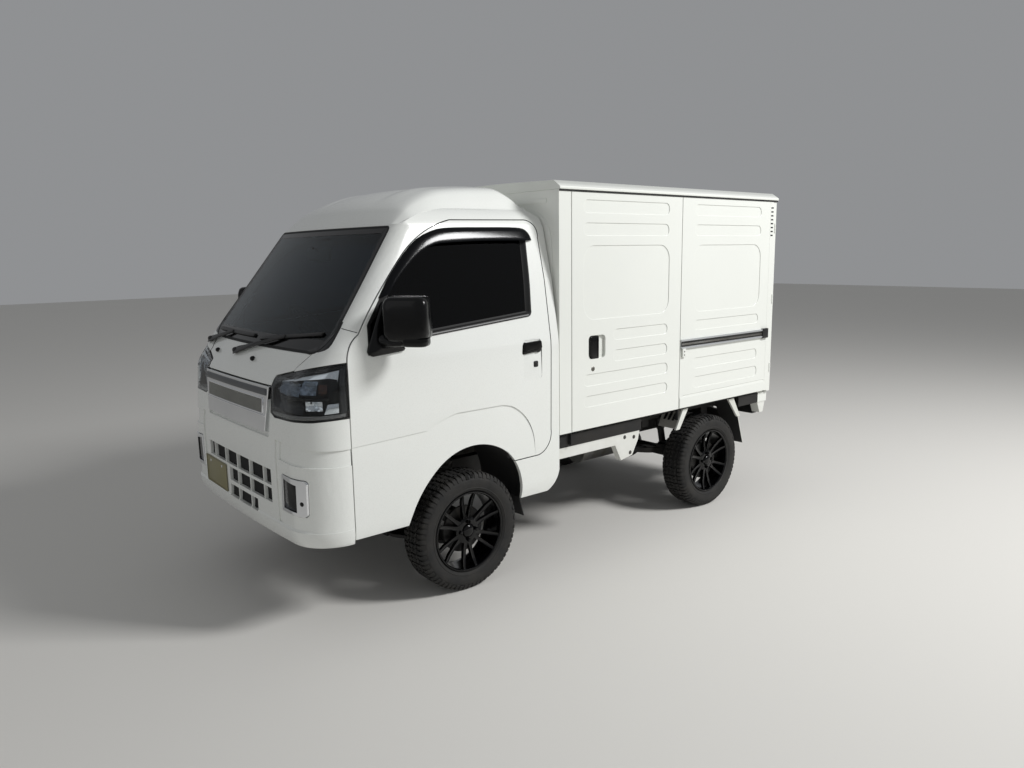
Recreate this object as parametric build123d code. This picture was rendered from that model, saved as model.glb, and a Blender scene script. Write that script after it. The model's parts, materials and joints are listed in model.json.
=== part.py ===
from build123d import *
import math
import os

# A small cab-over delivery truck with a tall roof, a closed cargo box and a raised ride height.
# Millimetres. While it is drawn, x runs to the vehicle's left, y backwards from the bumper's face
# and z up from the ground. finish() moves the origin to the middle of the footprint.

# Overall
LENGTH = 3395
CAB_HALF = 737
CAB_REAR = 1419
CAB_FOOT = 395
BOX_HALF = 729
BOX_FRONT = 1431

# Wheels
WHEELBASE = 1900
FRONT_AXLE = 847
REAR_AXLE = FRONT_AXLE + WHEELBASE
TYRE_RADIUS = 291
TYRE_WIDTH = 165
WHEEL_OUTER = 725
RIM_RADIUS = 199
RIM_WALL = 8
HUB_FACE = 668
AXLE_Z = TYRE_RADIUS

# Cab walls and seams
CAB_WALL = 60
NOSE_TRIM = 50
SEAM = 5
FIT = 0.3
DOOR_SKIN = 24
DOOR_DEPTH = 55
DOOR_STEP = 18
GLASS = 5
WINDSCREEN_GLASS = 6
FLOOR_THICK = 14
FOOTWELL_Z = 600
SEAT_DECK_Z = 742

# Cargo box
BOX_WALL = 32
BOX_FLOOR_TOP = 700
BOX_SIDE_BOTTOM = 676
BOX_SIDE_TOP = 1926
BOX_ROOF_RISE = 59
ROOF_EDGE = 14
HEADER = 50
REAR_DOOR_THICK = 38
SLIDING_DOOR_FRONT = 1518
SLIDING_DOOR_REAR = 2410
RIB_HEIGHT = 4

REAR_POST_FRONT = LENGTH - 77
BOX_REAR = LENGTH - REAR_DOOR_THICK - SEAM

# Ladder frame
RAIL_INNER = 290
RAIL_WIDTH = 55
RAIL_BOTTOM = 455
RAIL_TOP = 545
RAIL_FRONT = 110
RAIL_REAR = 3300
TOW_EYE_X = 470
TOW_EYE_Z = 372
TOW_EYE_RADIUS = 14
ENGINE_HALF = 210
SPRING_EYE_Z = 400

# Joints
DOOR_SEAM_Y = 224
DOOR_HINGE_ZS = (500, 920)
HINGE_HEIGHT = 80
DOOR_ZONE_INNER = CAB_HALF - 230
KINGPIN_LOW = (628, 212)
KINGPIN_HIGH = (500, SEAT_DECK_Z)

parts = {}


def outline(start, *steps):
    """A closed flat face: each step is a corner, or (point on an arc, end of the arc)."""
    edges = []
    here = start
    for step in steps:
        if isinstance(step[0], tuple):
            edges.append(ThreePointArc(here, step[0], step[1]))
            here = step[1]
        else:
            edges.append(Line(here, step))
            here = step
    if here != start:
        edges.append(Line(here, start))
    return make_face(edges)


def across(face, x0, x1):
    """A side view (y, z) made solid from x0 to x1."""
    return Pos(x0, 0, 0) * extrude(Plane.YZ * face, amount=x1 - x0)


def along(face, y0, y1):
    """A front view (x, z) made solid from y0 to y1."""
    return Pos(0, y1, 0) * extrude(Plane.XZ * face, amount=y1 - y0)


def block(x0, x1, y0, y1, z0, z1):
    middle = ((x0 + x1) / 2, (y0 + y1) / 2, (z0 + z1) / 2)
    return Pos(*middle) * Box(x1 - x0, y1 - y0, z1 - z0)


def mirror_x(shape):
    return mirror(shape, about=Plane.YZ)


def both(shape):
    return [shape, mirror_x(shape)]


def keep(node, *shapes):
    """Collect the solids of one node."""
    parts.setdefault(node, []).extend(shapes)


def rod(a, b, radius):
    """A round bar from point a to point b."""
    path = Line(a, b)
    return sweep(Plane(origin=a, z_dir=path % 0) * Circle(radius), path=path)


# Cab body: level cross-sections of the outside, from the bumper's lower edge up to above the roof.
CAB_SECTIONS = (
    # z, front y at the middle, corner x, corner y, half width, y where the straight side starts
    (CAB_FOOT, 14, 556, 30, CAB_HALF - 8, 221),
    (430, 2, 570, 15, CAB_HALF - 2, 221),
    (464, 0, 572, 12, CAB_HALF, 221),
    (472, 5, 568, 18, CAB_HALF, 221),
    (760, 5, 570, 17, CAB_HALF, 221),
    (1064, 26, 545, 42, CAB_HALF, 221),
    (1092, 38, 548, 58, CAB_HALF, 221),
    (1131, 67, 552, 90, CAB_HALF, 222),
    (1178, 97, 560, 130, CAB_HALF - 2, 225),
    (1225, 132, 610, 172, CAB_HALF - 10, 245),
    (1480, 325, 600, 366, CAB_HALF - 52, 450),
    (1745, 522, 556, 560, CAB_HALF - 117, 640),
    (1985, 700, 556, 738, CAB_HALF - 117, 818),
)
CORNER = math.sqrt(0.5)


def cab_level(z, front, corner_x, corner_y, half, side, inset):
    """One level section of the cab, moved in by inset."""
    front_y = front + inset
    cx = corner_x - inset / 2
    cy = corner_y + inset
    hw = half - inset
    sy = side + inset / 2
    rear = CAB_REAR - inset
    mid = (cx + CORNER * (hw - cx), sy - CORNER * (sy - cy))
    return Pos(0, 0, z) * outline(
        (-cx, cy), ((0, front_y), (cx, cy)), (mid, (hw, sy)), (hw, rear), (-hw, rear), (-hw, sy),
        ((-mid[0], mid[1]), (-cx, cy)))


def cab_envelope(inset):
    """The closed outside of the cab, moved in by inset: the walls lie between two of these."""
    body = loft([cab_level(*row, inset) for row in CAB_SECTIONS], ruled=True)
    i = inset
    gutter = (540 - 0.6 * i, 1830 - i)
    wall_top = (508 - 0.6 * i, 1880 - i)
    ridge = (484 - 0.6 * i, 1912 - i)
    crown = (436 - 0.6 * i, 1931 - i)
    shoulder = (622 - i, 1740)
    shoulder_mid = (596 - i, 1785 - i / 2)
    front_view = outline(
        (-760, 300), (760, 300), (760, 1740), shoulder, (shoulder_mid, gutter), wall_top, (ridge, crown),
        ((0, 1957 - i), (-crown[0], crown[1])), ((-ridge[0], ridge[1]), (-wall_top[0], wall_top[1])),
        (-gutter[0], gutter[1]), ((-shoulder_mid[0], shoulder_mid[1]), (-shoulder[0], shoulder[1])),
        (-760, 1740))
    side_view = outline(
        (-60, 300), (-60, 1500), (536 + i, 1768 - i), ((748 + i, 1889 - i), (1050, 1945 - i)),
        (1225 - i / 2, 1950 - i), ((1322 - i, 1909 - i), (1372 - i, 1835 - i)),
        (CAB_REAR - i, 1790 - i), (CAB_REAR - i, 560), ((CAB_REAR - 16 - i, 455), (1340 - i, 394)),
        (1340 - i, 300))
    return body & along(front_view, -100, 1500) & across(side_view, -800, 800)


def door_outline(grow):
    """The cab door's seam in the side view. Its foot crosses the wheel arch, which is cut out apart."""
    front = DOOR_SEAM_Y
    seam = outline(
        (front, 409), (front, 1165), ((232, 1213), (292, 1290)), ((428, 1474), (562, 1621)),
        ((692, 1716), (850, 1772)), (1300, 1778), ((1356, 1756), (1371, 1690)), (1363, 930), (1361, 720),
        ((1340, 640), (1274, 600)), (1100, 598), (1100, 409))
    return offset(seam, amount=grow, kind=Kind.TANGENT)


def arch_outline(grow):
    return outline(
        (484 - grow, 380), ((556 - grow, 535), (665 - 0.7 * grow, 650 + 0.7 * grow)),
        ((870, 720 + grow), (1075 + 0.7 * grow, 648 + 0.7 * grow)), ((1148 + grow, 540), (1156 + grow, 380)))


def window_outline(grow):
    g = grow
    return outline(
        (336 - g, 1240 - g), (342 - g, 1326), (425 - g, 1440 + g), ((566 - g, 1606 + g), (735, 1717 + g)),
        (1250, 1732 + g), ((1275 + g, 1724 + g), (1284 + g, 1696)), (1253 + g, 1338),
        ((1247 + 0.7 * g, 1317 - 0.7 * g), (1228, 1310 - g)), (560, 1254 - g))


def windscreen_outline(grow):
    g = grow
    return outline(
        (-520, 1212 - g), (520, 1212 - g), ((612 + 0.7 * g, 1238 - 0.7 * g), (640 + g, 1300)),
        (566 + g, 1722), ((556 + 0.7 * g, 1736 + 0.7 * g), (540, 1740 + g)), (-540, 1740 + g),
        ((-556 - 0.7 * g, 1736 + 0.7 * g), (-566 - g, 1722)), (-640 - g, 1300),
        ((-612 - 0.7 * g, 1238 - 0.7 * g), (-520, 1212 - g)))


def rear_window_outline(grow):
    return Pos(0, 1500) * RectangleRounded(960 + 2 * grow, 320 + 2 * grow, 60)


def floor_outline():
    """The cab floor in the side view: footwell, riser and the deck under the seats."""
    t = FLOOR_THICK
    rear = CAB_REAR - CAB_WALL + 2
    return outline(
        (60, FOOTWELL_Z), (470, FOOTWELL_Z), (560, SEAT_DECK_Z), (rear, SEAT_DECK_Z),
        (rear, SEAT_DECK_Z + t), (552, SEAT_DECK_Z + t), (463, FOOTWELL_Z + t), (60, FOOTWELL_Z + t))


# Pressings in the cab's side, each deepest along its top edge and run out at its foot: side view,
# depth, z of the top, z of the foot
BELT_PRESSING = (outline((190, 700), (190, 817), (620, 833), (620, 700)), 4, 833, 740)
FLARE_PRESSING = (
    outline((470, 560), (477, 654), ((520, 752), (620, 842)), ((860, 901), (1100, 878)),
            ((1205, 792), (1250, 649)), (1258, 560)), 6, 890, 600)
HANDLE_POCKET = (Pos(1241, 1092) * RectangleRounded(122, 204, 24), 12, 1192, 992)


def tapered(zone, depth, top, foot, out=0):
    """The wedge that a pressing takes out of the side, or with out, what fills it up to out mm proud."""
    face = CAB_HALF + out
    wedge = outline((face + 12, foot), (face, foot), (face - depth, top), (face + 12, top))
    return along(wedge, 150, CAB_REAR + 10) & across(zone, CAB_HALF - 40, CAB_HALF + 20)


outside = cab_envelope(0)
inside = cab_envelope(CAB_WALL)
behind_trim = cab_envelope(NOSE_TRIM)
trim_back = cab_envelope(NOSE_TRIM - FIT)

# Front view outlines of the nose's pieces: hood, grille, lamps and bumper.
NOSE_REAR = DOOR_SEAM_Y - SEAM / 2
LAMP = ((396, 1103), (525, 1135), (745, 1182), (745, 948), (680, 939), (429, 933), (392, 950))
LAMP_GAP = 1.5
GRILLE_GAP = 2
GRILLE_PROUD = 11
LEDGE_TOP = 1066
GRILLE = ((-388, 1062), (388, 1062), (352, 858), (-352, 858))
HOOD = ((-558, 1207), (558, 1207), (510, 1150), (510, 1137), (390, 1108), (386, LEDGE_TOP),
        (-386, LEDGE_TOP), (-390, 1108), (-510, 1137), (-510, 1150))


def nose_zone(points, grow=0, rear=NOSE_REAR):
    face = outline(*points)
    if grow:
        face = offset(face, amount=grow, kind=Kind.INTERSECTION)
    return along(face, -60, rear)


lamp_zone = nose_zone(LAMP)
grille_zone = nose_zone(GRILLE)
hood_zone = nose_zone(HOOD)
nose_front = outside - trim_back
bumper_zone = block(-800, 800, -60, NOSE_REAR, 300, 1180) - hood_zone - nose_zone(HOOD, SEAM)
for lamp_gap in both(nose_zone(LAMP, LAMP_GAP)):
    bumper_zone -= lamp_gap
bumper_zone -= nose_zone(GRILLE, GRILLE_GAP)
bumper_zone -= block(-800, 800, -60, 300, LEDGE_TOP, 1200)


# Air duct through the nose, behind the bumper's cells
AIR_HALF = 392
AIR_LOW = 462
AIR_HIGH = 698


def cab_shell():
    floor = across(floor_outline(), -(CAB_HALF - 50), CAB_HALF - 50)
    shell = outside - (inside - floor)
    half = CAB_HALF - CAB_WALL
    wall_front = CAB_REAR - CAB_WALL
    shell -= block(-half, half, 62, wall_front, 380, 460)
    shell -= block(-half, half, wall_front - 100, CAB_REAR + 10, 380, SEAT_DECK_Z - 20)
    front_cut = block(-800, 800, -60, NOSE_REAR + SEAM, 300, LEDGE_TOP) + nose_zone(HOOD, SEAM)
    for lamp_cut in both(nose_zone(LAMP, LAMP_GAP, NOSE_REAR + SEAM)):
        front_cut += lamp_cut
    shell -= front_cut & (outside - behind_trim)
    for side in both(across(door_outline(SEAM / 2), DOOR_ZONE_INNER, CAB_HALF + 40)):
        shell -= side
    for side in both(block(half - 4, CAB_HALF + 40, DOOR_SEAM_Y - SEAM / 2, 520, 380, 410)):
        shell -= side
    shell -= across(arch_outline(0), -(CAB_HALF + 40), CAB_HALF + 40)
    shell -= along(windscreen_outline(0), 0, 660)
    shell -= along(rear_window_outline(0), wall_front - 40, CAB_REAR + 20)
    shell -= block(-AIR_HALF, AIR_HALF, -60, 78, AIR_LOW, AIR_HIGH)
    for pressing in both(tapered(*FLARE_PRESSING)):
        shell -= pressing
    box_front = DOOR_SEAM_Y + SEAM / 2 + DOOR_STEP
    for low in DOOR_HINGE_ZS:
        high = low + HINGE_HEIGHT
        strap = block(half - 5, CAB_HALF - DOOR_DEPTH, NOSE_REAR - 15, NOSE_REAR, low, high)
        strap += block(half - 5, CAB_HALF - DOOR_DEPTH + 8, NOSE_REAR, box_front - FIT, low, high)
        for piece in both(strap):
            shell += piece
    return shell


def roof_zone(lift):
    """Above the gutter, which runs from the windscreen's top edge to the cab's rear."""
    return across(outline(
        (400, 1752 + lift), (588, 1752 + lift), ((700, 1801 + lift), (830, 1826 + lift)), (1341, 1841 + lift),
        (1430, 1841 + lift), (1430, 2010), (400, 2010)), -800, 800)


whole_cab = cab_shell()
keep("cab_shell", *(whole_cab - roof_zone(0)).solids())
keep("cab_roof", *(whole_cab & roof_zone(FIT)).solids())

# Glass that is fixed in the cab
pane = (outside - cab_envelope(WINDSCREEN_GLASS)) & along(windscreen_outline(-FIT), 0, 640)
keep("cab_glass", pane)
keep("cab_glass", along(rear_window_outline(-FIT), CAB_REAR - 30, CAB_REAR - 30 + GLASS))

# Nose
CELLS = (
    # x of the cells' edges, z of the lower and upper edge
    ((-388, -309, -157, -2, 149, 304, 388), 622, 694),
    ((-117, -2, 149, 304, 386), 542, 608),
    ((-117, -2, 149, 226), 464, 522),
)
BAR = 8

# Pressings of the bumper, mirrored except for the ledge round the grille, and the fog lamps
CREASE_DEPTH = 6
LEDGE_DEPTH = 12
FOG_PROUD = 6
CHANNEL = outline((478, 757), (745, 744), (745, 815), (640, 826), (478, 838))
GROOVE = outline((436, 838), (474, 838), (474, 757), (470, 472), (440, 472))
LEDGE = outline((-402, 1090), (402, 1090), (374, 836), (-374, 836))
FOG_OPENING = outline(
    (492, 535), (640, 533), ((655, 536), (662, 552)), (664, 672), ((660, 690), (645, 694)), (500, 700))
FOG_LAMP = outline(
    (494, 537), (640, 535), ((654, 538), (660, 553)), (662, 671), ((658, 688), (644, 692)), (502, 698))
FOG_LENS = outline((508, 552), (612, 550), (614, 668), (514, 682))


def bumper():
    body = nose_front & bumper_zone
    crease = outside - cab_envelope(CREASE_DEPTH)
    for pressing in both(along(CHANNEL, -60, NOSE_REAR)) + both(along(GROOVE, -60, NOSE_REAR)):
        body -= crease & pressing
    body -= (outside - cab_envelope(LEDGE_DEPTH)) & along(LEDGE, -60, NOSE_REAR)
    for edges, low, high in CELLS:
        for left, right in zip(edges[:-1], edges[1:]):
            body -= block(left + BAR / 2, right - BAR / 2, -60, 200, low, high)
    fog = along(FOG_OPENING, -60, 200)
    for side in both(fog):
        body -= side
    return body


keep("bumper", *bumper().solids())
fog_lamp = (cab_envelope(-FOG_PROUD) - trim_back) & along(FOG_LAMP, -60, 200)
fog_lamp -= (cab_envelope(-2 * FOG_PROUD) - cab_envelope(FOG_PROUD)) & along(FOG_LENS, -60, 200)
for side in both(fog_lamp):
    keep("fog_lamps", side)
for side in both(nose_front & lamp_zone):
    keep("headlamps", side)

hood = nose_front & hood_zone
keep("hood_panel", hood)
grille = (cab_envelope(-GRILLE_PROUD) - trim_back) & grille_zone
keep("grille", grille)


# Cab doors
def cab_door():
    zone_skin = across(door_outline(-SEAM / 2), DOOR_ZONE_INNER, CAB_HALF + 40)
    zone_box = across(door_outline(-SEAM / 2 - DOOR_STEP), DOOR_ZONE_INNER, CAB_HALF + 40)
    skin_back = cab_envelope(DOOR_SKIN)
    body = (outside & zone_skin) - skin_back
    body += (skin_back & zone_box) - cab_envelope(DOOR_DEPTH)
    body -= across(arch_outline(0), 300, 800)
    for pressing in (BELT_PRESSING, FLARE_PRESSING, HANDLE_POCKET):
        body -= tapered(*pressing)
    return body - across(window_outline(0), 300, 800)


door = cab_door()
pane = (cab_envelope(GLASS * 3) - cab_envelope(GLASS * 4)) & across(window_outline(-FIT), 300, 800)
visor_zone = outline(
    (404, 1440), ((552, 1618), (735, 1729)), (1285, 1746), ((1318, 1736), (1329, 1700)), (1327, 1676),
    (1019, 1676), ((743, 1663), (640, 1638)), (459, 1454))
visor = (cab_envelope(-8) - cab_envelope(-FIT)) & across(visor_zone, 300, 800)
MIRROR_PLACE = (850, 450, 1342)
MIRROR_TURN = 38
MIRROR_WIDTH = 190
MIRROR_DEPTH = 92
MIRROR_HALF_HEIGHT = 105
MIRROR_EASE = 18
head = extrude(RectangleRounded(MIRROR_WIDTH, MIRROR_DEPTH, 34), amount=MIRROR_HALF_HEIGHT, both=True)
head_ends = head.faces().sort_by(Axis.Z)[-1].edges() + head.faces().sort_by(Axis.Z)[0].edges()
head = Pos(*MIRROR_PLACE) * Rot(0, 0, MIRROR_TURN) * fillet(head_ends, MIRROR_EASE)
base_zone = outline((325, 1196), (505, 1206), (425, 1424), (322, 1232))
base = (cab_envelope(-14) - cab_envelope(-FIT)) & across(base_zone, 300, 800)
arm = block(700, 840, 380, 425, 1238, 1266)
mirror_unit = base + (arm - cab_envelope(-FIT)) + head
handle_zone = Pos(1241, 1159) * RectangleRounded(116, 62, 12)
handle = tapered(handle_zone, *HANDLE_POCKET[1:], FIT) & block(700, CAB_HALF + 4, 1100, 1400, 1000, 1300)
for node_side, flip in (("left", False), ("right", True)):
    for node, solid in (("door", door), ("door_glass", pane)):
        keep(f"{node}_{node_side}", mirror_x(solid) if flip else solid)
    for solid in (mirror_unit, visor, handle):
        for piece in solid.solids():
            keep(f"door_fittings_{node_side}", mirror_x(piece) if flip else piece)

# Inside the cab
DASH_REAR = 470
DASH_HALF = CAB_HALF - CAB_WALL - 8
dash_side = outline(
    (135, 1010), (NOSE_REAR + 40, 900), (400, 900), (DASH_REAR, 960), ((DASH_REAR, 1085), (430, 1120)),
    (250, 1160), (165, 1160))
dash = across(dash_side, -DASH_HALF, DASH_HALF) & cab_envelope(CAB_WALL + FIT)
DRIVER_X = -350
WHEEL_CENTRE = (DRIVER_X, 610, 1210)
WHEEL_TILT = 38
HUB_DEPTH = 41
tilt_y = math.cos(math.radians(WHEEL_TILT))
tilt_z = math.sin(math.radians(WHEEL_TILT))
reach = HUB_DEPTH + FIT
column_end = (DRIVER_X, WHEEL_CENTRE[1] - reach * tilt_y, WHEEL_CENTRE[2] - reach * tilt_z)
COLUMN_LENGTH = 210
column_start = (
    DRIVER_X, column_end[1] - COLUMN_LENGTH * tilt_y, column_end[2] - COLUMN_LENGTH * tilt_z)
keep("dashboard", dash + rod(column_start, column_end, 24))
wheel_plane = Plane(origin=WHEEL_CENTRE, x_dir=(1, 0, 0), z_dir=(0, tilt_y, tilt_z))
RING_RADIUS = 175
ring = revolve(Plane.XZ * Pos(RING_RADIUS, 0) * RegularPolygon(14, 8), axis=Axis.Z)
hub = Pos(0, 0, -18) * Cylinder(55, 46)
spokes = [Rot(0, 0, turn) * block(-14, 14, 40, 172, -16, -4) for turn in (90, -90, 180)]
steering_wheel = ring + hub
for spoke in spokes:
    steering_wheel += spoke
keep("steering_wheel", wheel_plane * steering_wheel)

# Two seats: a base on the deck, the cushion on it and the back on the cushion
DECK_TOP = SEAT_DECK_Z + FLOOR_THICK
CUSHION_LOW = DECK_TOP + 74
CUSHION_TOP = 960
CUSHION_HALF = 225
BASE_HALF = 200
BACK_HALF = 215
seat_back = outline(
    (1200, CUSHION_TOP + FIT), (1295, CUSHION_TOP + FIT), (1345, 1440), ((1330, 1500), (1290, 1490)),
    (1245, 1440))
for seat_x in (-DRIVER_X, DRIVER_X):
    keep("seats", block(seat_x - BASE_HALF, seat_x + BASE_HALF, 790, 1210, DECK_TOP + FIT, CUSHION_LOW - FIT))
    cushion = block(seat_x - CUSHION_HALF, seat_x + CUSHION_HALF, 760, 1230, CUSHION_LOW, CUSHION_TOP)
    keep("seats", fillet(cushion.edges().filter_by(Axis.Z), 40))
    keep("seats", across(seat_back, seat_x - BACK_HALF, seat_x + BACK_HALF))
mirror_stalk = block(-12, 12, 400, 482, 1628, 1650) & cab_envelope(WINDSCREEN_GLASS + FIT)
keep("cabin_mirror", along(Pos(0, 1620) * RectangleRounded(230, 62, 20), 480, 497) + mirror_stalk)

# Wipers on the cowl
WIPERS = (
    # pivot on the hood, arm's foot above it, blade's tip
    ((-610, 138, 1189), (-610, 121, 1195), (-88, 149, 1259)),
    ((-144, 93, 1171), (-144, 74, 1177), (426, 182, 1285)),
)
for pivot, foot, tip in WIPERS:
    keep("wipers", (rod(pivot, foot, 9) - cab_envelope(-FIT)) + rod(foot, tip, 5))


# Wheels
def tyre():
    half = TYRE_WIDTH / 2
    section = [(RIM_RADIUS + FIT, half - 14), (RIM_RADIUS + 34, half), (TYRE_RADIUS - 24, half - 4),
               (TYRE_RADIUS - 6, half - 10), (TYRE_RADIUS, half - 24)]
    profile = outline(*[(r, -w) for r, w in section], *reversed(section))
    return revolve(Plane.XZ * profile, axis=Axis.Z)


def rim():
    half = TYRE_WIDTH / 2
    inner = RIM_RADIUS - RIM_WALL
    barrel = outline((inner, -half + 6), (RIM_RADIUS, -half + 6), (RIM_RADIUS, half - 4), (inner - 4, half - 4))
    body = revolve(Plane.XZ * barrel, axis=Axis.Z)
    disc_z = HUB_FACE - (WHEEL_OUTER - half)
    body += Pos(0, 0, disc_z + 14) * Cylinder(62, 28)
    spoke = outline((-16, 40), (16, 40), (11, inner + 2), (-11, inner + 2))
    for index in range(6):
        for lean in (-11, 11):
            turn = Rot(0, 0, index * 60 + lean)
            body += turn * Pos(0, 0, disc_z + 10) * extrude(spoke, amount=24)
    return body


HALF_WHEEL_X = WHEEL_OUTER - TYRE_WIDTH / 2
one_tyre = Rot(0, 90, 0) * tyre()
one_rim = Rot(0, 90, 0) * rim()
for end, axle_y in (("front", FRONT_AXLE), ("rear", REAR_AXLE)):
    for node_side, flip in (("left", False), ("right", True)):
        for node, solid in (("tyre", one_tyre), ("rim", one_rim)):
            placed = Pos(HALF_WHEEL_X, axle_y, AXLE_Z) * solid
            keep(f"{node}_{end}_{node_side}", mirror_x(placed) if flip else placed)

# Front suspension: knuckle with its strut, which steer together
HUB_BACK = HUB_FACE - FIT


def knuckle():
    y = FRONT_AXLE
    low_x, low_z = KINGPIN_LOW
    top_x, top_z = KINGPIN_HIGH
    body = Pos(HUB_BACK - 5, y, AXLE_Z) * Rot(0, 90, 0) * Cylinder(58, 10)
    body += Pos(HUB_BACK - 20, y, AXLE_Z) * Rot(0, 90, 0) * Cylinder(115, 12)
    body += Pos(HUB_BACK - 40, y, AXLE_Z) * Rot(0, 90, 0) * Cylinder(42, 70)
    body += block(low_x - 16, low_x + 16, y - 18, y + 18, low_z + 10, AXLE_Z)
    body += Pos(low_x, y, low_z + 9) * Sphere(9)
    body += block(top_x - 10, 625, y - 24, y + 24, 300, 372)
    body += block(540, 575, y + 20, y + 130, 245, 268)
    body += block(560, 610, y + 10, y + 45, 245, 300)
    coils = [(radius, z) for z in range(554, 683, 32) for radius, z in ((40, z), (47, z + 16))][:-1]
    strut = outline(
        (0, 318), (25, 318), (25, 520), (48, 532), (48, 542), *coils, (48, 694), (48, 704), (14, 712),
        (14, top_z - 10), (8, top_z - 3), (0, top_z - 3))
    return body + Pos(top_x, y, 0) * revolve(Plane.XZ * strut, axis=Axis.Z)


one_knuckle = knuckle()
keep("knuckle_left", one_knuckle)
keep("knuckle_right", mirror_x(one_knuckle))

ARM_THICK = 18
ARM_INNER = 262
arm_end = KINGPIN_LOW[0] + 4
arm_face = outline(
    (ARM_INNER, -190), (300, -190), (600, -20), (arm_end, -8), (arm_end, 8), (600, 20), (300, 60),
    (ARM_INNER, 60))
lower_arms = both(
    Pos(0, FRONT_AXLE, KINGPIN_LOW[1] - ARM_THICK) * extrude(arm_face, amount=ARM_THICK - FIT))
crossmember = block(-ARM_INNER, ARM_INNER, FRONT_AXLE - 200, FRONT_AXLE + 70, 190, 240)
legs = both(block(RAIL_INNER - 60, RAIL_INNER + 20, FRONT_AXLE - 60, FRONT_AXLE + 60, 240, RAIL_BOTTOM - FIT))
suspension = crossmember
for piece in lower_arms + legs:
    suspension += piece
keep("front_suspension", suspension)


# Ladder frame: two rails, the crossmembers between them and the brackets on them
def tow_bracket():
    arm = block(
        RAIL_INNER + RAIL_WIDTH, TOW_EYE_X + 12, RAIL_FRONT, RAIL_FRONT + 50, RAIL_BOTTOM + 10, RAIL_TOP - 10)
    plate = outline(
        (RAIL_FRONT, RAIL_BOTTOM + 20), (RAIL_FRONT + 50, RAIL_BOTTOM + 20), (RAIL_FRONT + 50, TOW_EYE_Z),
        ((RAIL_FRONT + 25, TOW_EYE_Z - 25), (RAIL_FRONT, TOW_EYE_Z)))
    plate -= Pos(RAIL_FRONT + 25, TOW_EYE_Z) * Circle(TOW_EYE_RADIUS)
    return arm + across(plate, TOW_EYE_X - 6, TOW_EYE_X + 6)


RAIL_OUTER = RAIL_INNER + RAIL_WIDTH
one_rail = block(RAIL_INNER, RAIL_OUTER, RAIL_FRONT, RAIL_REAR, RAIL_BOTTOM, RAIL_TOP)
keep("chassis_rails", *both(one_rail))
for y in (RAIL_FRONT, 560, 1450, 2000, 2420, 3020, RAIL_REAR - 60):
    keep("crossmembers", block(-RAIL_INNER, RAIL_INNER, y, y + 50, RAIL_BOTTOM + 10, RAIL_TOP - 10))
brackets = [
    block(RAIL_INNER + 5, RAIL_OUTER - 5, 280, 340, RAIL_TOP, FOOTWELL_Z - FIT),
    block(RAIL_INNER + 5, RAIL_OUTER - 5, 1290, 1350, RAIL_TOP, SEAT_DECK_Z - FIT),
    block(ENGINE_HALF + FIT, RAIL_INNER, 1060, 1120, RAIL_BOTTOM + 20, RAIL_TOP - 20),
    tow_bracket(),
]
for y in (2235, 3225):
    brackets.append(block(RAIL_OUTER, 480, y, y + 40, SPRING_EYE_Z + 24 + FIT, RAIL_TOP - 30))
for bracket in brackets:
    keep("frame_brackets", *both(bracket))

ENGINE = block(-ENGINE_HALF, ENGINE_HALF, 900, 1330, 300, 700)
keep("engine_block", ENGINE)
tank = block(-640, -RAIL_OUTER - FIT, 1500, 2060, 380, 540)
keep("fuel_tank", fillet(tank.edges().filter_by(Axis.Y), 30))

# Rear axle
AXLE_END = HUB_BACK
DRUM_RADIUS = 120
DRUM_INNER = AXLE_END - 72
AXLE_TUBE = 34
axle_half = outline(
    (0, -AXLE_END), (DRUM_RADIUS, -AXLE_END), (DRUM_RADIUS, -DRUM_INNER - 10), (100, -DRUM_INNER),
    (AXLE_TUBE, -DRUM_INNER), (AXLE_TUBE, -120), ((112, 0), (AXLE_TUBE, 120)), (AXLE_TUBE, DRUM_INNER),
    (100, DRUM_INNER), (DRUM_RADIUS, DRUM_INNER + 10), (DRUM_RADIUS, AXLE_END), (0, AXLE_END))
axle = revolve(Plane.XZ * axle_half, axis=Axis.Z)
keep("rear_axle", Pos(0, REAR_AXLE, AXLE_Z) * Rot(0, 90, 0) * axle)
spring_low = AXLE_Z + AXLE_TUBE + FIT
spring_side = outline(
    (2240, SPRING_EYE_Z), ((REAR_AXLE, spring_low), (3260, SPRING_EYE_Z)), (3260, SPRING_EYE_Z + 24),
    ((REAR_AXLE, spring_low + 34), (2240, SPRING_EYE_Z + 24)))
for side in both(across(spring_side, 420, 480)):
    keep("leaf_springs", side)
keep("drive_shaft", rod((0, 1332.9, 400), (0, REAR_AXLE - 113, AXLE_Z + 4), 32))
MUFFLER_RADIUS = 80
MUFFLER_Z = RAIL_BOTTOM + 10 - MUFFLER_RADIUS - FIT
exhaust = rod((150, 1331.9, 380), (200, 2080, MUFFLER_Z), 22)
exhaust += Pos(200, 2280, MUFFLER_Z) * Rot(90, 0, 0) * Cylinder(MUFFLER_RADIUS, 440)
keep("exhaust", exhaust)

# Cargo box: frame with front wall, posts and top rails, floor with its sill and bearers, and roof
SLAB_BOTTOM = BOX_SIDE_BOTTOM - 16
SILL_BOTTOM = SLAB_BOTTOM - 66
HINGE_LIFTS = (124, 584, 1044)
WELL_INNER = 545
WELL_FRONT = REAR_AXLE - 310
WELL_REAR = REAR_AXLE + 320
VENTS = 8
VENT_PITCH = 25


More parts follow.
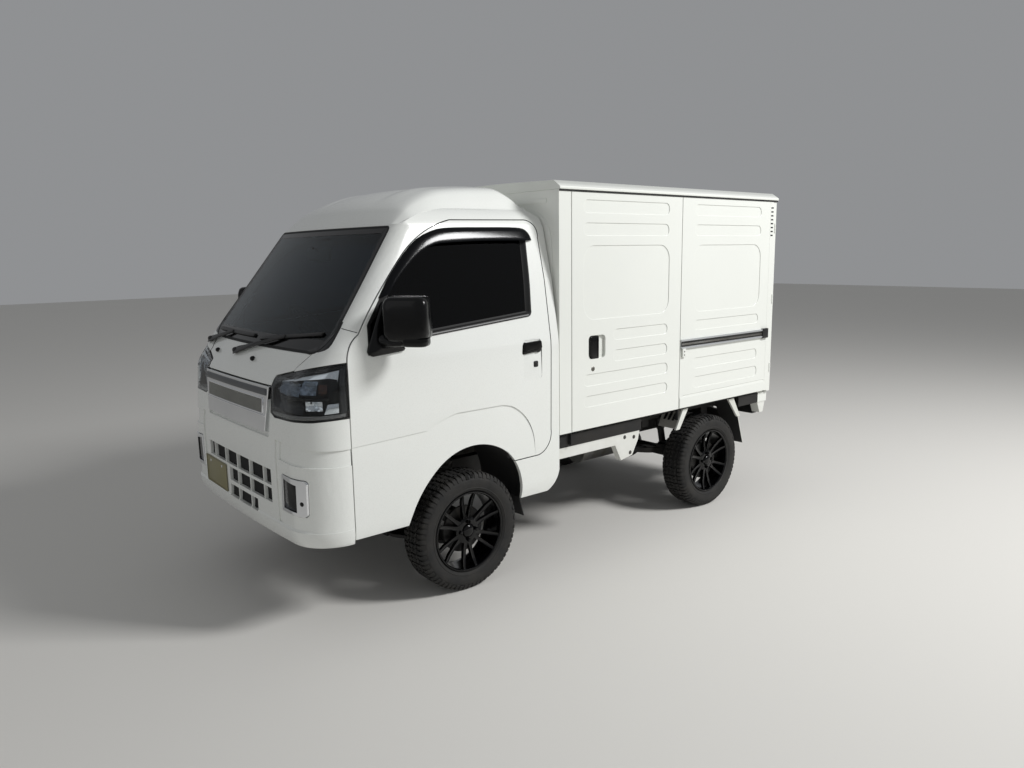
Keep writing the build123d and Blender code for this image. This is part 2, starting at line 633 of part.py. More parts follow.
def box_frame():
    post_inner = BOX_HALF - BOX_WALL - 20
    low, high = BOX_SIDE_BOTTOM, BOX_SIDE_TOP
    frame = block(-BOX_HALF, BOX_HALF, BOX_FRONT, BOX_FRONT + BOX_WALL, low, high)
    rails = block(BOX_HALF - 60, BOX_HALF - 36, BOX_FRONT, BOX_REAR, high - 60, high)
    front_post = block(post_inner, BOX_HALF, BOX_FRONT, SLIDING_DOOR_FRONT - SEAM / 2, low, high)
    rear_post = block(BOX_HALF - 60, BOX_HALF, REAR_POST_FRONT, BOX_REAR, low, high)
    for index in range(VENTS):
        slot = high - 52 - index * VENT_PITCH
        rear_post -= block(BOX_HALF - 10, BOX_HALF, REAR_POST_FRONT + 6, BOX_REAR - 6, slot, slot + 9)
    side = rails + front_post + rear_post
    for lift in HINGE_LIFTS:
        side += block(
            BOX_HALF - 50, BOX_HALF - 12, BOX_REAR - 5, LENGTH - REAR_DOOR_THICK - FIT,
            low + lift, low + lift + 60)
    for piece in both(side):
        frame += piece
    inner = BOX_HALF - BOX_WALL
    return frame + block(-inner, inner, BOX_REAR - 40, BOX_REAR, high - HEADER, high)


def box_floor(frame):
    slab = block(-BOX_HALF + BOX_WALL, BOX_HALF - BOX_WALL, BOX_FRONT, BOX_REAR, SLAB_BOTTOM, BOX_FLOOR_TOP)
    base = block(-BOX_HALF + 25, BOX_HALF - 25, BOX_FRONT, LENGTH - 4, SILL_BOTTOM, SLAB_BOTTOM) + slab
    for well in both(block(WELL_INNER, BOX_HALF, WELL_FRONT, WELL_REAR, SILL_BOTTOM - 10, SLAB_BOTTOM)):
        base -= well
    for y in (1450, 1880, 2300, 2560, 2890, 3180):
        base += block(-540, 540, y, y + 60, RAIL_TOP + FIT, SILL_BOTTOM + 2)
    return base - frame


frame = box_frame()
keep("box_frame", frame)
keep("box_floor", box_floor(frame))

EAVE = BOX_HALF + 8
roof_low = BOX_SIDE_TOP + FIT
roof_edge = BOX_SIDE_TOP + ROOF_EDGE
roof_shoulder = (BOX_HALF - 39, BOX_SIDE_TOP + BOX_ROOF_RISE - 13)
roof_section = outline(
    (-EAVE, roof_edge), (-EAVE, roof_low), (EAVE, roof_low), (EAVE, roof_edge), roof_shoulder,
    ((0, BOX_SIDE_TOP + BOX_ROOF_RISE), (-roof_shoulder[0], roof_shoulder[1])))
roof = along(roof_section, BOX_FRONT, LENGTH)
roof_lining = block(
    -BOX_HALF + 60, BOX_HALF - 60, BOX_FRONT + BOX_WALL, BOX_REAR - 40, BOX_SIDE_TOP - 26, BOX_SIDE_TOP + 20)
keep("box_roof", roof - roof_lining)

# Pressed forms on the side panels and sliding doors: y from, y to, z from, z to, corner radius
DOOR_RIBS = (
    (1606, 2292, 1814, 1880, 30),
    (1606, 2290, 1699, 1764, 30),
    (1606, 2298, 1262, 1648, 80),
    (1835, 2290, 1140, 1199, 28),
    (1835, 2290, 1023, 1085, 28),
    (1608, 2297, 908, 971, 28),
    (1608, 2297, 794, 854, 28),
)
PANEL_RIBS = (
    (2532, 3212, 1817, 1880, 30),
    (2532, 3214, 1700, 1764, 30),
    (2526, 3220, 1250, 1646, 80),
    (2545, 3216, 1140, 1200, 28),
    (2540, 3212, 907, 971, 28),
    (2543, 3220, 787, 855, 28),
)


def pressed(panel, ribs):
    for y_from, y_to, z_from, z_to, radius in ribs:
        middle = Pos((y_from + y_to) / 2, (z_from + z_to) / 2)
        face = middle * RectangleRounded(y_to - y_from, z_to - z_from, radius)
        panel -= Pos(BOX_HALF, 0, 0) * extrude(Plane.YZ * face, amount=-RIB_HEIGHT)
    return panel


panel_front = SLIDING_DOOR_REAR + SEAM / 2
side_panel = block(
    BOX_HALF - BOX_WALL, BOX_HALF, panel_front, REAR_POST_FRONT - FIT, BOX_SIDE_BOTTOM, BOX_SIDE_TOP)
side_panel = pressed(side_panel, PANEL_RIBS)
side_panel -= block(BOX_HALF - 3, BOX_HALF, panel_front + 32, REAR_POST_FRONT - 12, 746, 753)
side_panel -= across(outline((2585, 600), (2606, 700), (2915, 700), (2936, 600)), BOX_HALF - 60, BOX_HALF + 10)
for side in both(side_panel):
    keep("box_side_panels", side)
sliding = block(
    BOX_HALF - BOX_WALL, BOX_HALF, SLIDING_DOOR_FRONT + SEAM / 2, SLIDING_DOOR_REAR - SEAM / 2,
    BOX_SIDE_BOTTOM, BOX_SIDE_TOP)
sliding = pressed(sliding, DOOR_RIBS)
CUP_DEPTH = 16
handle_cup = Pos(1706.5, 1114.5) * RectangleRounded(127, 125, 22)
sliding -= Pos(BOX_HALF, 0, 0) * extrude(Plane.YZ * handle_cup, amount=-CUP_DEPTH)
for side in both(sliding):
    keep("sliding_doors", side)

# Rail of the sliding door on the outside of the panel: channel, end cap and bracket
RAIL_FACE = BOX_HALF + 14
RAIL_GROOVE = BOX_HALF + 5
rail_section = outline(
    (BOX_HALF + FIT, 1040), (RAIL_FACE, 1040), (RAIL_FACE, 1048), (RAIL_GROOVE, 1052), (RAIL_GROOVE, 1080),
    (RAIL_FACE, 1084), (RAIL_FACE, 1094), (BOX_HALF + FIT, 1094))
door_rail = along(rail_section, SLIDING_DOOR_REAR + 5, REAR_POST_FRONT)
door_rail += block(BOX_HALF + FIT, RAIL_FACE + 2, REAR_POST_FRONT - 62, REAR_POST_FRONT, 1036, 1097)
door_rail += block(BOX_HALF + FIT, RAIL_FACE - 2, SLIDING_DOOR_REAR + 14, SLIDING_DOOR_REAR + 42, 990, 1042)
for side in both(door_rail):
    keep("door_rails", side)

rear_door = block(SEAM / 2, BOX_HALF - 4, LENGTH - REAR_DOOR_THICK, LENGTH, BOX_SIDE_BOTTOM - 10, BOX_SIDE_TOP)
keep("rear_door_left", rear_door)
keep("rear_door_right", mirror_x(rear_door))

# Under the box and behind the wheels
GUARD_TOP = SLAB_BOTTOM - FIT
sill_rail = across(outline(
    (1442, 535), (1885, 535), (1935, 440), (2030, 455), (2080, 540), (2092, SILL_BOTTOM - FIT),
    (1442, SILL_BOTTOM - FIT)), 660, 700)
for side in both(sill_rail):
    keep("side_rails", side)
rear_bracket = outline((3290, SILL_BOTTOM - FIT), (3380, SILL_BOTTOM - FIT), (3362, 520), (3322, 520))
for side in both(across(rear_bracket, 640, 700)):
    keep("side_rails", side)

# Splash guards: side view of the sheet, and of the stay at its outer end
GUARDS = (
    (((2498, GUARD_TOP), (2504, GUARD_TOP), (2446, 540), (2440, 540)),
     ((2487, GUARD_TOP), (2537, GUARD_TOP), (2457, 538), (2420, 538))),
    (((2990, GUARD_TOP), (2996, GUARD_TOP), (3075, 530), (3140, 340), (3134, 340), (3069, 530)),
     ((2953, GUARD_TOP), (3012, GUARD_TOP), (3090, 530), (3057, 530))),
)
for sheet_points, stay_points in GUARDS:
    guard = across(outline(*sheet_points), WELL_INNER + 5, 700) + across(outline(*stay_points), 690, 704)
    for side in both(guard):
        keep("mudguards", side)
flap_top = CAB_FOOT - FIT
flap = outline((1168, flap_top), (1174, flap_top), (1204, 285), (1198, 285))
for side in both(across(flap, 560, 700)):
    keep("mudguards", side)

# Liner of the front wheel arch, with a hole for the strut
LINER_INNER = 395
LINER_HOLE = 34
liner = across(arch_outline(5) - arch_outline(1), LINER_INNER, CAB_HALF - CAB_WALL - FIT)
liner -= block(0, CAB_HALF, 300, 1300, 300, 396)
liner -= Pos(KINGPIN_HIGH[0], FRONT_AXLE, 720) * Cylinder(LINER_HOLE, 80)
for side in both(liner):
    keep("arch_liners", side)

lamp_block = block(430, 636, LENGTH - 60, LENGTH - 4, 500, SILL_BOTTOM - FIT)
for side in both(lamp_block):
    keep("tail_lamps", side)


def finish():
    os.makedirs("parts", exist_ok=True)
    shift = Pos(0, -LENGTH / 2, 0)
    for node, shapes in parts.items():
        solids = [shift * solid for shape in shapes for solid in shape.solids()]
        whole = solids[0] if len(solids) == 1 else Compound(children=solids)
        whole.label = node
        export_step(whole, f"parts/{node}.step")
        print(node, len(solids))


finish()
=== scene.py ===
import json
import math

import bmesh
import bpy
from mathutils import Matrix, Vector

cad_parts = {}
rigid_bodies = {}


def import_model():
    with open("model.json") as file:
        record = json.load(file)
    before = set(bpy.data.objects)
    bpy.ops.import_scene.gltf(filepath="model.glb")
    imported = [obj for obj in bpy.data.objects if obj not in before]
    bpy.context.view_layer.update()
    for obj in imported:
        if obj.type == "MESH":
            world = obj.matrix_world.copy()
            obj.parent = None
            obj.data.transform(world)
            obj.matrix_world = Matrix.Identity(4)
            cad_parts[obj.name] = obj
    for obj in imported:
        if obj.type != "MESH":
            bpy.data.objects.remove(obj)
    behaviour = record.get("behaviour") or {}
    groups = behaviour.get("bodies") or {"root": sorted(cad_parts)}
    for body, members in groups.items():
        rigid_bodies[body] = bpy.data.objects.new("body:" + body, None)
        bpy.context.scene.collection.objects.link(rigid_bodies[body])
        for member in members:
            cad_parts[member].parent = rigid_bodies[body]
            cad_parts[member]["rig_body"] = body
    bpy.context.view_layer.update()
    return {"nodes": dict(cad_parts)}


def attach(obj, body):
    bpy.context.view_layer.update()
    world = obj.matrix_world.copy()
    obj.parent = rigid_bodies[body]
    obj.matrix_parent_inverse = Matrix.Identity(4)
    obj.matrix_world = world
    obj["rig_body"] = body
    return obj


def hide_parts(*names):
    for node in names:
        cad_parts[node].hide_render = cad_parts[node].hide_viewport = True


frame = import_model()
bpy.ops.object.select_all(action="DESELECT")
print("frame loaded")

mm = 0.001
midLength = 1697.5  # the part's y = 0 is this far behind the bumper's face, in mm
samePoint = 0.00001  # points closer than this, in metres, are merged
sharp = 34.0  # edges that turn by more degrees than this are eased, and shaded as edges


# a place given in mm: x to the truck's left, y back from the bumper's face, z up from the ground
def place(x, y, z):
    return Vector((x * mm, (y - midLength) * mm, z * mm))


# camera: where it stands and how it is turned, found by fitting the photograph's frame
camera = {"x": 3603.6, "y": -1277.2, "z": 1619.9, "yaw": 50.2806, "pitch": 9.6452, "roll": -0.8538,
          "lens": 27.26}


def addCamera():
    yaw, pitch, roll = (math.radians(camera[k]) for k in ("yaw", "pitch", "roll"))
    ahead = Vector((-math.sin(yaw) * math.cos(pitch), math.cos(yaw) * math.cos(pitch), -math.sin(pitch)))
    right = ahead.cross(Vector((0, 0, 1))).normalized()
    up = right.cross(ahead)
    rolledRight = math.cos(roll) * right + math.sin(roll) * up
    rolledUp = -math.sin(roll) * right + math.cos(roll) * up
    turned = Matrix((rolledRight, rolledUp, -ahead)).transposed().to_4x4()
    bpy.ops.object.camera_add()
    eye = bpy.context.object
    eye.matrix_world = Matrix.Translation(place(camera["x"], camera["y"], camera["z"])) @ turned
    eye.data.lens = camera["lens"]
    eye.data.sensor_width = 36.0
    bpy.context.scene.camera = eye
    eye.select_set(False)


addCamera()
print("camera set")


# sRGB hex to linear colour
def linear(hexColour):
    parts = [int(hexColour[i:i + 2], 16) / 255 for i in (1, 3, 5)]
    return tuple(c / 12.92 if c <= 0.04045 else ((c + 0.055) / 1.055) ** 2.4 for c in parts) + (1.0,)


# one shader node with its settings and links
def addNode(tree, kind, settings=None, links=None, **props):
    node = tree.nodes.new(kind)
    for key, value in props.items():
        setattr(node, key, value)
    for socket, value in (settings or {}).items():
        node.inputs[socket].default_value = value
    for socket, source in (links or {}).items():
        tree.links.new(source, node.inputs[socket])
    return node


finish = {}


# an empty material, as its tree and the place on the object that its patterns follow
def newMaterial(name):
    made = bpy.data.materials.new(name)
    made.use_nodes = True
    made.node_tree.nodes.clear()
    finish[name] = made
    return made.node_tree, addNode(made.node_tree, "ShaderNodeTexCoord").outputs["Object"]


def addSurface(tree, settings, links):
    shader = addNode(tree, "ShaderNodeBsdfPrincipled", settings, links)
    addNode(tree, "ShaderNodeOutputMaterial", {}, {"Surface": shader.outputs["BSDF"]})


# colour between two tones on a soft pattern, with a bump of the surface's own grain
def finishMaterial(name, tone, darkTone, roughness, grainMm, bumpMm, metallic=0.0, coat=0.0,
                   coatRoughness=0.05, cloudMm=400.0, roughSpread=0.05, ior=1.5, stretch=(1, 1, 1)):
    tree, where = newMaterial(name)
    turned = addNode(tree, "ShaderNodeMapping", {"Scale": stretch}, {"Vector": where}).outputs["Vector"]
    cloud = addNode(tree, "ShaderNodeTexNoise", {"Scale": 1000 / cloudMm, "Detail": 4.0, "Roughness": 0.6},
                    {"Vector": turned}).outputs["Fac"]
    grain = addNode(tree, "ShaderNodeTexNoise", {"Scale": 1000 / grainMm, "Detail": 3.0},
                    {"Vector": turned}).outputs["Fac"]
    spread = addNode(tree, "ShaderNodeMapRange", {"From Min": 0.35, "From Max": 0.72},
                     {"Value": cloud}).outputs["Result"]
    colour = addNode(tree, "ShaderNodeMix", {"A": linear(tone), "B": linear(darkTone)}, data_type="RGBA")
    tree.links.new(spread, colour.inputs["Factor"])
    rough = addNode(tree, "ShaderNodeMapRange",
                    {"To Min": roughness - roughSpread, "To Max": roughness + roughSpread},
                    {"Value": grain}).outputs["Result"]
    bump = addNode(tree, "ShaderNodeBump", {"Strength": 1.0, "Distance": bumpMm * mm},
                   {"Height": grain}).outputs["Normal"]
    addSurface(tree, {"Metallic": metallic, "IOR": ior, "Coat Weight": coat, "Coat Roughness": coatRoughness},
               {"Base Color": colour.outputs["Result"], "Roughness": rough, "Normal": bump})


# clear or tinted pane
def glassMaterial(name, tint, roughness=0.0, ior=1.45):
    tree, where = newMaterial(name)
    haze = addNode(tree, "ShaderNodeTexNoise", {"Scale": 9.0, "Detail": 5.0},
                   {"Vector": where}).outputs["Fac"]
    rough = addNode(tree, "ShaderNodeMapRange", {"To Min": roughness, "To Max": roughness + 0.02},
                    {"Value": haze})
    addSurface(tree, {"Base Color": linear(tint), "IOR": ior, "Transmission Weight": 1.0},
               {"Roughness": rough.outputs["Result"]})


# woven seat cloth: threads of about 2 mm, drawn coarser than real so that the weave shows
def weaveMaterial(name, tone, darkTone, threadMm):
    tree, where = newMaterial(name)
    scale = math.pi * 2 / (threadMm * mm) / 20
    warp = addNode(tree, "ShaderNodeTexWave", {"Scale": scale, "Distortion": 0.4}, {"Vector": where},
                   bands_direction="X").outputs["Fac"]
    weft = addNode(tree, "ShaderNodeTexWave", {"Scale": scale, "Distortion": 0.4}, {"Vector": where},
                   bands_direction="Z").outputs["Fac"]
    both = addNode(tree, "ShaderNodeMath", {}, {0: warp, 1: weft}, operation="MULTIPLY").outputs["Value"]
    colour = addNode(tree, "ShaderNodeMix", {"A": linear(darkTone), "B": linear(tone)}, data_type="RGBA")
    tree.links.new(both, colour.inputs["Factor"])
    bump = addNode(tree, "ShaderNodeBump", {"Strength": 0.6, "Distance": 0.0006},
                   {"Height": both}).outputs["Normal"]
    addSurface(tree, {"Roughness": 0.85, "Sheen Weight": 0.3},
               {"Base Color": colour.outputs["Result"], "Normal": bump})


# enamel on sheet steel: glossy white with a faint orange peel under the lacquer
finishMaterial("cabEnamel", "#EEF0EC", "#EAECE7", 0.28, 3.0, 0.03, coat=0.8, cloudMm=900.0)
finishMaterial("boxEnamel", "#ECEEE8", "#E8EAE4", 0.34, 4.0, 0.05, coat=0.5, coatRoughness=0.12,
               cloudMm=1200.0)
finishMaterial("whiteChassis", "#E6E7E2", "#D2D2CA", 0.45, 5.0, 0.1)
# moulded polypropylene: near black, fine leather-like grain, dull
finishMaterial("grainedPlastic", "#1B1B1C", "#242424", 0.62, 1.6, 0.12)
finishMaterial("glossBlack", "#040405", "#070708", 0.12, 6.0, 0.01, roughSpread=0.03, ior=1.35)
finishMaterial("satinBlack", "#141415", "#1E1D1B", 0.42, 3.0, 0.08)
finishMaterial("seal", "#0E0E0F", "#151515", 0.7, 1.2, 0.1)
# chrome plate on moulded plastic: a mirror with the slightest softness
finishMaterial("chromePlate", "#E9EAEC", "#DDDFE2", 0.06, 8.0, 0.01, metallic=1.0, roughSpread=0.02)
finishMaterial("greyMetalPaint", "#5E6063", "#4E5053", 0.35, 2.0, 0.05, metallic=0.7)
finishMaterial("alloyBlack", "#020203", "#050506", 0.16, 5.0, 0.02, roughSpread=0.04, ior=1.4)
# vulcanised rubber: dusty black, rougher where it has run
finishMaterial("tyreRubber", "#1A1A1A", "#2B2926", 0.78, 2.5, 0.25, cloudMm=90.0)
finishMaterial("chassisPaint", "#131313", "#24211D", 0.55, 6.0, 0.2, cloudMm=160.0)
finishMaterial("castIron", "#5A5956", "#3E3B37", 0.6, 2.5, 0.4, metallic=0.6, cloudMm=60.0)
finishMaterial("rolledSteel", "#8C8C8A", "#6B6860", 0.42, 1.5, 0.1, metallic=0.9, cloudMm=120.0)
finishMaterial("brushedRail", "#D9DBDC", "#C4C7C9", 0.35, 1.0, 0.04, metallic=0.6, stretch=(1, 0.02, 1))
glassMaterial("screenGlass", "#8C9FA8", ior=1.25)
glassMaterial("tintedGlass", "#1B2430", ior=1.32)
glassMaterial("lensClear", "#EEF2F4", ior=1.3)
glassMaterial("lensRed", "#C0140C", 0.05)
glassMaterial("lensAmber", "#E87A10", 0.05)
# dark inner walls of the lamps, and the moulded strips in them
finishMaterial("lampDark", "#060708", "#0C0D0F", 0.3, 3.0, 0.05, ior=1.3)
finishMaterial("lampRibbed", "#1A1C1F", "#0B0C0D", 0.35, 9.0, 1.2, stretch=(0.3, 0.3, 1))
finishMaterial("reflectorDark", "#6C7683", "#4A525C", 0.1, 6.0, 0.1, metallic=1.0, roughSpread=0.03)
finishMaterial("reflectorRibbed", "#4A4D52", "#15161A", 0.3, 16.0, 1.4, metallic=0.6,
               stretch=(0.6, 0.6, 0.12))
finishMaterial("lampBandGrey", "#8D8A87", "#6B6866", 0.25, 4.0, 0.05, metallic=0.3)
# painted shade: near black for openings, slots and cells that lie in shade
finishMaterial("paintedShadeBlack", "#030303", "#070707", 0.8, 5.0, 0.1)
finishMaterial("meshPaint", "#A9A9A4", "#8F8F8A", 0.4, 2.0, 0.05, metallic=0.5)
# number plate border: its tone darkened with painted shade
finishMaterial("plateEdgePaintedShade", "#7E785A", "#726D51", 0.45, 3.0, 0.05, metallic=0.2)
# smoked acrylic of the rain visors: near black, glossy
finishMaterial("smokedAcrylic", "#030406", "#050609", 0.14, 9.0, 0.02, roughSpread=0.03, ior=1.3)
# dark moulded trim inside the cab, and the enamel printed on the pane's edge
finishMaterial("cabTrim", "#1C1E21", "#26282B", 0.7, 2.0, 0.15)
finishMaterial("frit", "#050506", "#08080A", 0.12, 6.0, 0.01, roughSpread=0.03)
finishMaterial("mirrorGlass", "#D5DCE2", "#CBD3DA", 0.02, 9.0, 0.0, metallic=1.0, roughSpread=0.01)
finishMaterial("mirrorShell", "#030304", "#060607", 0.2, 2.0, 0.03, ior=1.38)
finishMaterial("zincPlate", "#CFCDC6", "#A9A79F", 0.35, 2.0, 0.08, metallic=0.3)
weaveMaterial("seatCloth", "#3C4046", "#202329", 2.4)
# number plate: its tone darkened with painted shade
finishMaterial("plateMetalPaintedShade", "#8F8963", "#837D5A", 0.4, 3.0, 0.05, metallic=0.2)
print("materials made")


# paints every face of a CAD node or a piece
def paint(thing, look):
    thing.data.materials.clear()
    thing.data.materials.append(finish[look])


def selectOnly(piece):
    bpy.ops.object.select_all(action="DESELECT")
    piece.select_set(True)
    bpy.context.view_layer.objects.active = piece


def applyAll(piece):
    selectOnly(piece)
    for modifier in list(piece.modifiers):
        bpy.ops.object.modifier_apply(modifier=modifier.name)


def bodyOf(node):
    return frame["nodes"][node]["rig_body"]


def pickAll():
    bpy.ops.mesh.select_all(action="SELECT")


# into edit mode with all points picked, and back
def startEdit(piece):
    selectOnly(piece)
    bpy.ops.object.mode_set(mode="EDIT")
    bpy.ops.mesh.select_mode(type="VERT")
    pickAll()


def endEdit():
    bpy.ops.object.mode_set(mode="OBJECT")


# picks the faces, edges or points for which the test holds
def pick(piece, kind, test):
    bpy.ops.mesh.select_mode(type=kind)
    bpy.ops.mesh.select_all(action="DESELECT")
    mesh = bmesh.from_edit_mesh(piece.data)
    mesh.faces.ensure_lookup_table()
    for item in {"FACE": mesh.faces, "EDGE": mesh.edges, "VERT": mesh.verts}[kind]:
        if test(item):
            item.select_set(True)
    mesh.select_flush_mode()
    bmesh.update_edit_mesh(piece.data)


def sortNormals(piece):
    startEdit(piece)
    bpy.ops.mesh.remove_doubles(threshold=samePoint)
    bpy.ops.mesh.normals_make_consistent(inside=False)
    endEdit()


# a primitive at its place, with its place in its mesh
def addPrimitive(kind, name, spot, turn=(0, 0, 0), **sizes):
    bpy.ops.object.select_all(action="DESELECT")
    getattr(bpy.ops.mesh, f"primitive_{kind}_add")(location=spot, rotation=turn, **sizes)
    piece = bpy.context.object
    piece.name = name
    bpy.ops.object.transform_apply(location=True, rotation=True, scale=True)
    return piece


# points drawn one after another from a plane that is merged to one point, and filled if closed
def drawLine(name, points, filled=True):
    piece = addPrimitive("plane", name, points[0], size=0.002)
    startEdit(piece)
    bpy.ops.mesh.merge(type="CENTER")
    for before, after in zip(points, points[1:]):
        bpy.ops.mesh.extrude_vertices_move(TRANSFORM_OT_translate={"value": after - before})
    if filled:
        pickAll()
        bpy.ops.mesh.edge_face_add()
    endEdit()
    return piece


# edges sharper than the angle are rounded by a bevel in mm
def easeEdges(piece, width, segments=2, angle=sharp):
    bevel = piece.modifiers.new("ease", "BEVEL")
    bevel.width = width * mm
    bevel.segments = segments
    bevel.limit_method = "ANGLE"
    bevel.angle_limit = math.radians(angle)
    bevel.use_clamp_overlap = True
    applyAll(piece)


# a closed outline pushed to a solid
def slab(name, points, push, ease=0.0, segments=2):
    piece = drawLine(name, points)
    startEdit(piece)
    bpy.ops.mesh.extrude_region_move(TRANSFORM_OT_translate={"value": push})
    endEdit()
    sortNormals(piece)
    if ease:
        easeEdges(piece, ease, segments)
    return piece


# a cube stretched between two corners in mm, its edges rounded
def roundedBlock(name, low, high, ease, segments=3):
    a, b = place(*low), place(*high)
    piece = addPrimitive("cube", name, (a + b) / 2, size=1.0)
    startEdit(piece)
    bpy.ops.transform.resize(value=tuple(b - a), center_override=tuple((a + b) / 2))
    bpy.ops.mesh.bevel(offset=ease * mm, segments=segments, affect="EDGES", clamp_overlap=True)
    endEdit()
    sortNormals(piece)
    return piece


# a profile of (radius, height) in mm turned round an axis from the centre
def lathe(name, profile, centre, axis, steps, closed=False):
    axis = Vector(axis).normalized()
    side = axis.orthogonal().normalized()
    points = [centre + side * (r * mm) + axis * (h * mm) for r, h in profile]
    if closed:
        points.append(points[0])
    piece = drawLine(name, points, filled=False)
    startEdit(piece)
    bpy.ops.mesh.spin(steps=steps, angle=math.tau, center=centre, axis=axis)
    pickAll()
    bpy.ops.mesh.remove_doubles(threshold=2 * samePoint)
    bpy.ops.mesh.dissolve_degenerate(threshold=samePoint)
    pickAll()
    bpy.ops.mesh.normals_make_consistent(inside=False)
    endEdit()
    return piece


def bareCopy(piece, name):
    twin = bpy.data.objects.new(name, piece.data.copy())
    bpy.context.scene.collection.objects.link(twin)
    return twin


# a copy with its own mesh, moved, or mirrored to the truck's other side
def copyOf(piece, name, shift=(0, 0, 0), flip=False):
    twin = bareCopy(piece, name)
    startEdit(twin)
    if flip:
        bpy.ops.transform.resize(value=(-1, 1, 1), center_override=(0, 0, 0))
        bpy.ops.mesh.flip_normals()
    bpy.ops.transform.translate(value=shift)
    endEdit()
    return twin


def joinPieces(name, pieces):
    bpy.ops.object.select_all(action="DESELECT")
    for piece in pieces:
        piece.select_set(True)
    bpy.context.view_layer.objects.active = pieces[0]
    bpy.ops.object.join()
    whole = bpy.context.object
    whole.name = name
    return whole


# shading, finish and body of a made piece, and the CAD nodes that it stands for
def finishPiece(piece, look, smooth=sharp, stands=(), body="root"):
    selectOnly(piece)
    bpy.ops.object.shade_smooth_by_angle(angle=math.radians(smooth))
    paint(piece, look)
    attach(piece, body)
    if stands:
        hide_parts(*stands)
    piece.select_set(False)
    return piece


# a piece and its mirror image; with a node, each rides with that node's body on its own side
def bothSides(piece, look, smooth=sharp, stands=(), node=None):
    twin = copyOf(piece, piece.name + "Right", flip=True)
    for made, end in ((piece, "_left"), (twin, "_right")):
        body = bodyOf(node + end) if node else "root"
        finishPiece(made, look, smooth, tuple(name + end for name in stands), body)


# a further finish on the faces for which the test on the place in mm (x to either side), and the face, holds
def lookWhere(piece, look, test):
    piece.data.materials.append(finish[look])
    index = len(piece.data.materials) - 1
    for face in piece.data.polygons:
        x, y, z = face.center
        if test(abs(x) / mm, y / mm + midLength, z / mm, face):
            face.material_index = index


# the place a share t of the way from a to b
def between(a, b, t):
    return tuple(p + (q - p) * t for p, q in zip(a, b))


# points of a rounded rectangle, as pairs
def roundedRect(x0, x1, z0, z1, radius, steps=4):
    corners = ((x1 - radius, z1 - radius, 0), (x0 + radius, z1 - radius, 90),
               (x0 + radius, z0 + radius, 180), (x1 - radius, z0 + radius, 270))
    found = []
    for cx, cz, turn in corners:
        for k in range(steps + 1):
            angle = math.radians(turn + 90 * k / steps)
            found.append((cx + radius * math.cos(angle), cz + radius * math.sin(angle)))
    return found


# a smooth line through the given pairs, each stretch cut in steps
def smoothLine(pairs, steps=4, closed=False):
    count = len(pairs)
    found = []
    for i in range(count if closed else count - 1):
        p = [Vector(pairs[(i + k) % count]) if closed else Vector(pairs[min(max(i + k, 0), count - 1)])
             for k in (-1, 0, 1, 2)]
        for k in range(steps):
            t = k / steps
            found.append(tuple(0.5 * ((2 * p[1]) + (p[2] - p[0]) * t
                                      + (2 * p[0] - 5 * p[1] + 4 * p[2] - p[3]) * t * t
                                      + (3 * p[1] - p[0] - 3 * p[2] + p[3]) * t ** 3)))
    if not closed:
        found.append(tuple(pairs[-1]))
    return found


# the cab's outside by level: z, front y, corner x, corner y, half width, y where the side runs straight
cabRows = (
    (395, 14, 556, 30, 729, 221), (430, 2, 570, 15, 735, 221), (464, 0, 572, 12, 737, 221),
    (472, 5, 568, 18, 737, 221), (760, 5, 570, 17, 737, 221), (1064, 26, 545, 42, 737, 221),
    (1092, 38, 548, 58, 737, 221), (1131, 67, 552, 90, 737, 222), (1178, 97, 560, 130, 735, 225),
    (1225, 132, 610, 172, 727, 245), (1480, 325, 600, 366, 685, 450), (1745, 522, 556, 560, 620, 640),
    (1985, 700, 556, 738, 620, 818),
)


# middle of the circle through three points
def circleMiddle(a, b, c):
    d = 2 * (a.x * (b.y - c.y) + b.x * (c.y - a.y) + c.x * (a.y - b.y))
    x = (a.length_squared * (b.y - c.y) + b.length_squared * (c.y - a.y) + c.length_squared * (a.y - b.y)) / d
    y = (a.length_squared * (c.x - b.x) + b.length_squared * (a.x - c.x) + c.length_squared * (b.x - a.x)) / d
    return x, y


# a level's plan line: share 0 to 1 runs from the middle to the corner, 1 to 2 round it to the straight side
def planPoint(row, share):
    z, front, cx, cy, half, side = row
    if share <= 1:
        radius = (cx * cx + (cy - front) ** 2) / (2 * (cy - front))
        angle = share * math.asin(cx / radius)
        return radius * math.sin(angle), front + radius * (1 - math.cos(angle))
    a, c = Vector((cx, cy)), Vector((half, side))
    b = Vector((cx + 0.70711 * (half - cx), side - 0.70711 * (side - cy)))
    hubX, hubY = circleMiddle(a, b, c)
    start = math.atan2(a.y - hubY, a.x - hubX)
    end = math.atan2(c.y - hubY, c.x - hubX)
    angle = start + (end - start) * (share - 1)
    reach = (a - Vector((hubX, hubY))).length
    return hubX + reach * math.cos(angle), hubY + reach * math.sin(angle)


def cabPoint(share, z):
    for low, high in zip(cabRows, cabRows[1:]):
        if z <= high[0] or high is cabRows[-1]:
            return between(planPoint(low, share), planPoint(high, share), (z - low[0]) / (high[0] - low[0]))


# the share at which the plan line reaches x, or y on the way round to the side
def shareAt(z, x=None, y=None):
    low, high = 0.0, 2.0
    for step in range(24):
        share = (low + high) / 2
        found = cabPoint(share, z)
        if (found[0] < abs(x)) if y is None else (found[1] < y):
            low = share
        else:
            high = share
    return low if x is None or x >= 0 else -low


# a place lift mm off the cab's outside; past a share of 2, each 1 is 1000 mm along the straight side
def cabPlace(share, z, lift=0.0):
    side = -1 if share < 0 else 1
    share = abs(share)
    x, y = cabPoint(min(share, 2.0), z)
    x2, y2 = cabPoint(max(min(share, 2.0) - 0.01, 0.0), z)
    away = Vector((y - y2, x2 - x)) if share > 0.01 else Vector((0, -1))
    away = Vector((1, 0)) if share >= 2 else away.normalized()
    y += max(share - 2.0, 0.0) * 1000
    return place(side * (x + away.x * lift), y + away.y * lift, z)


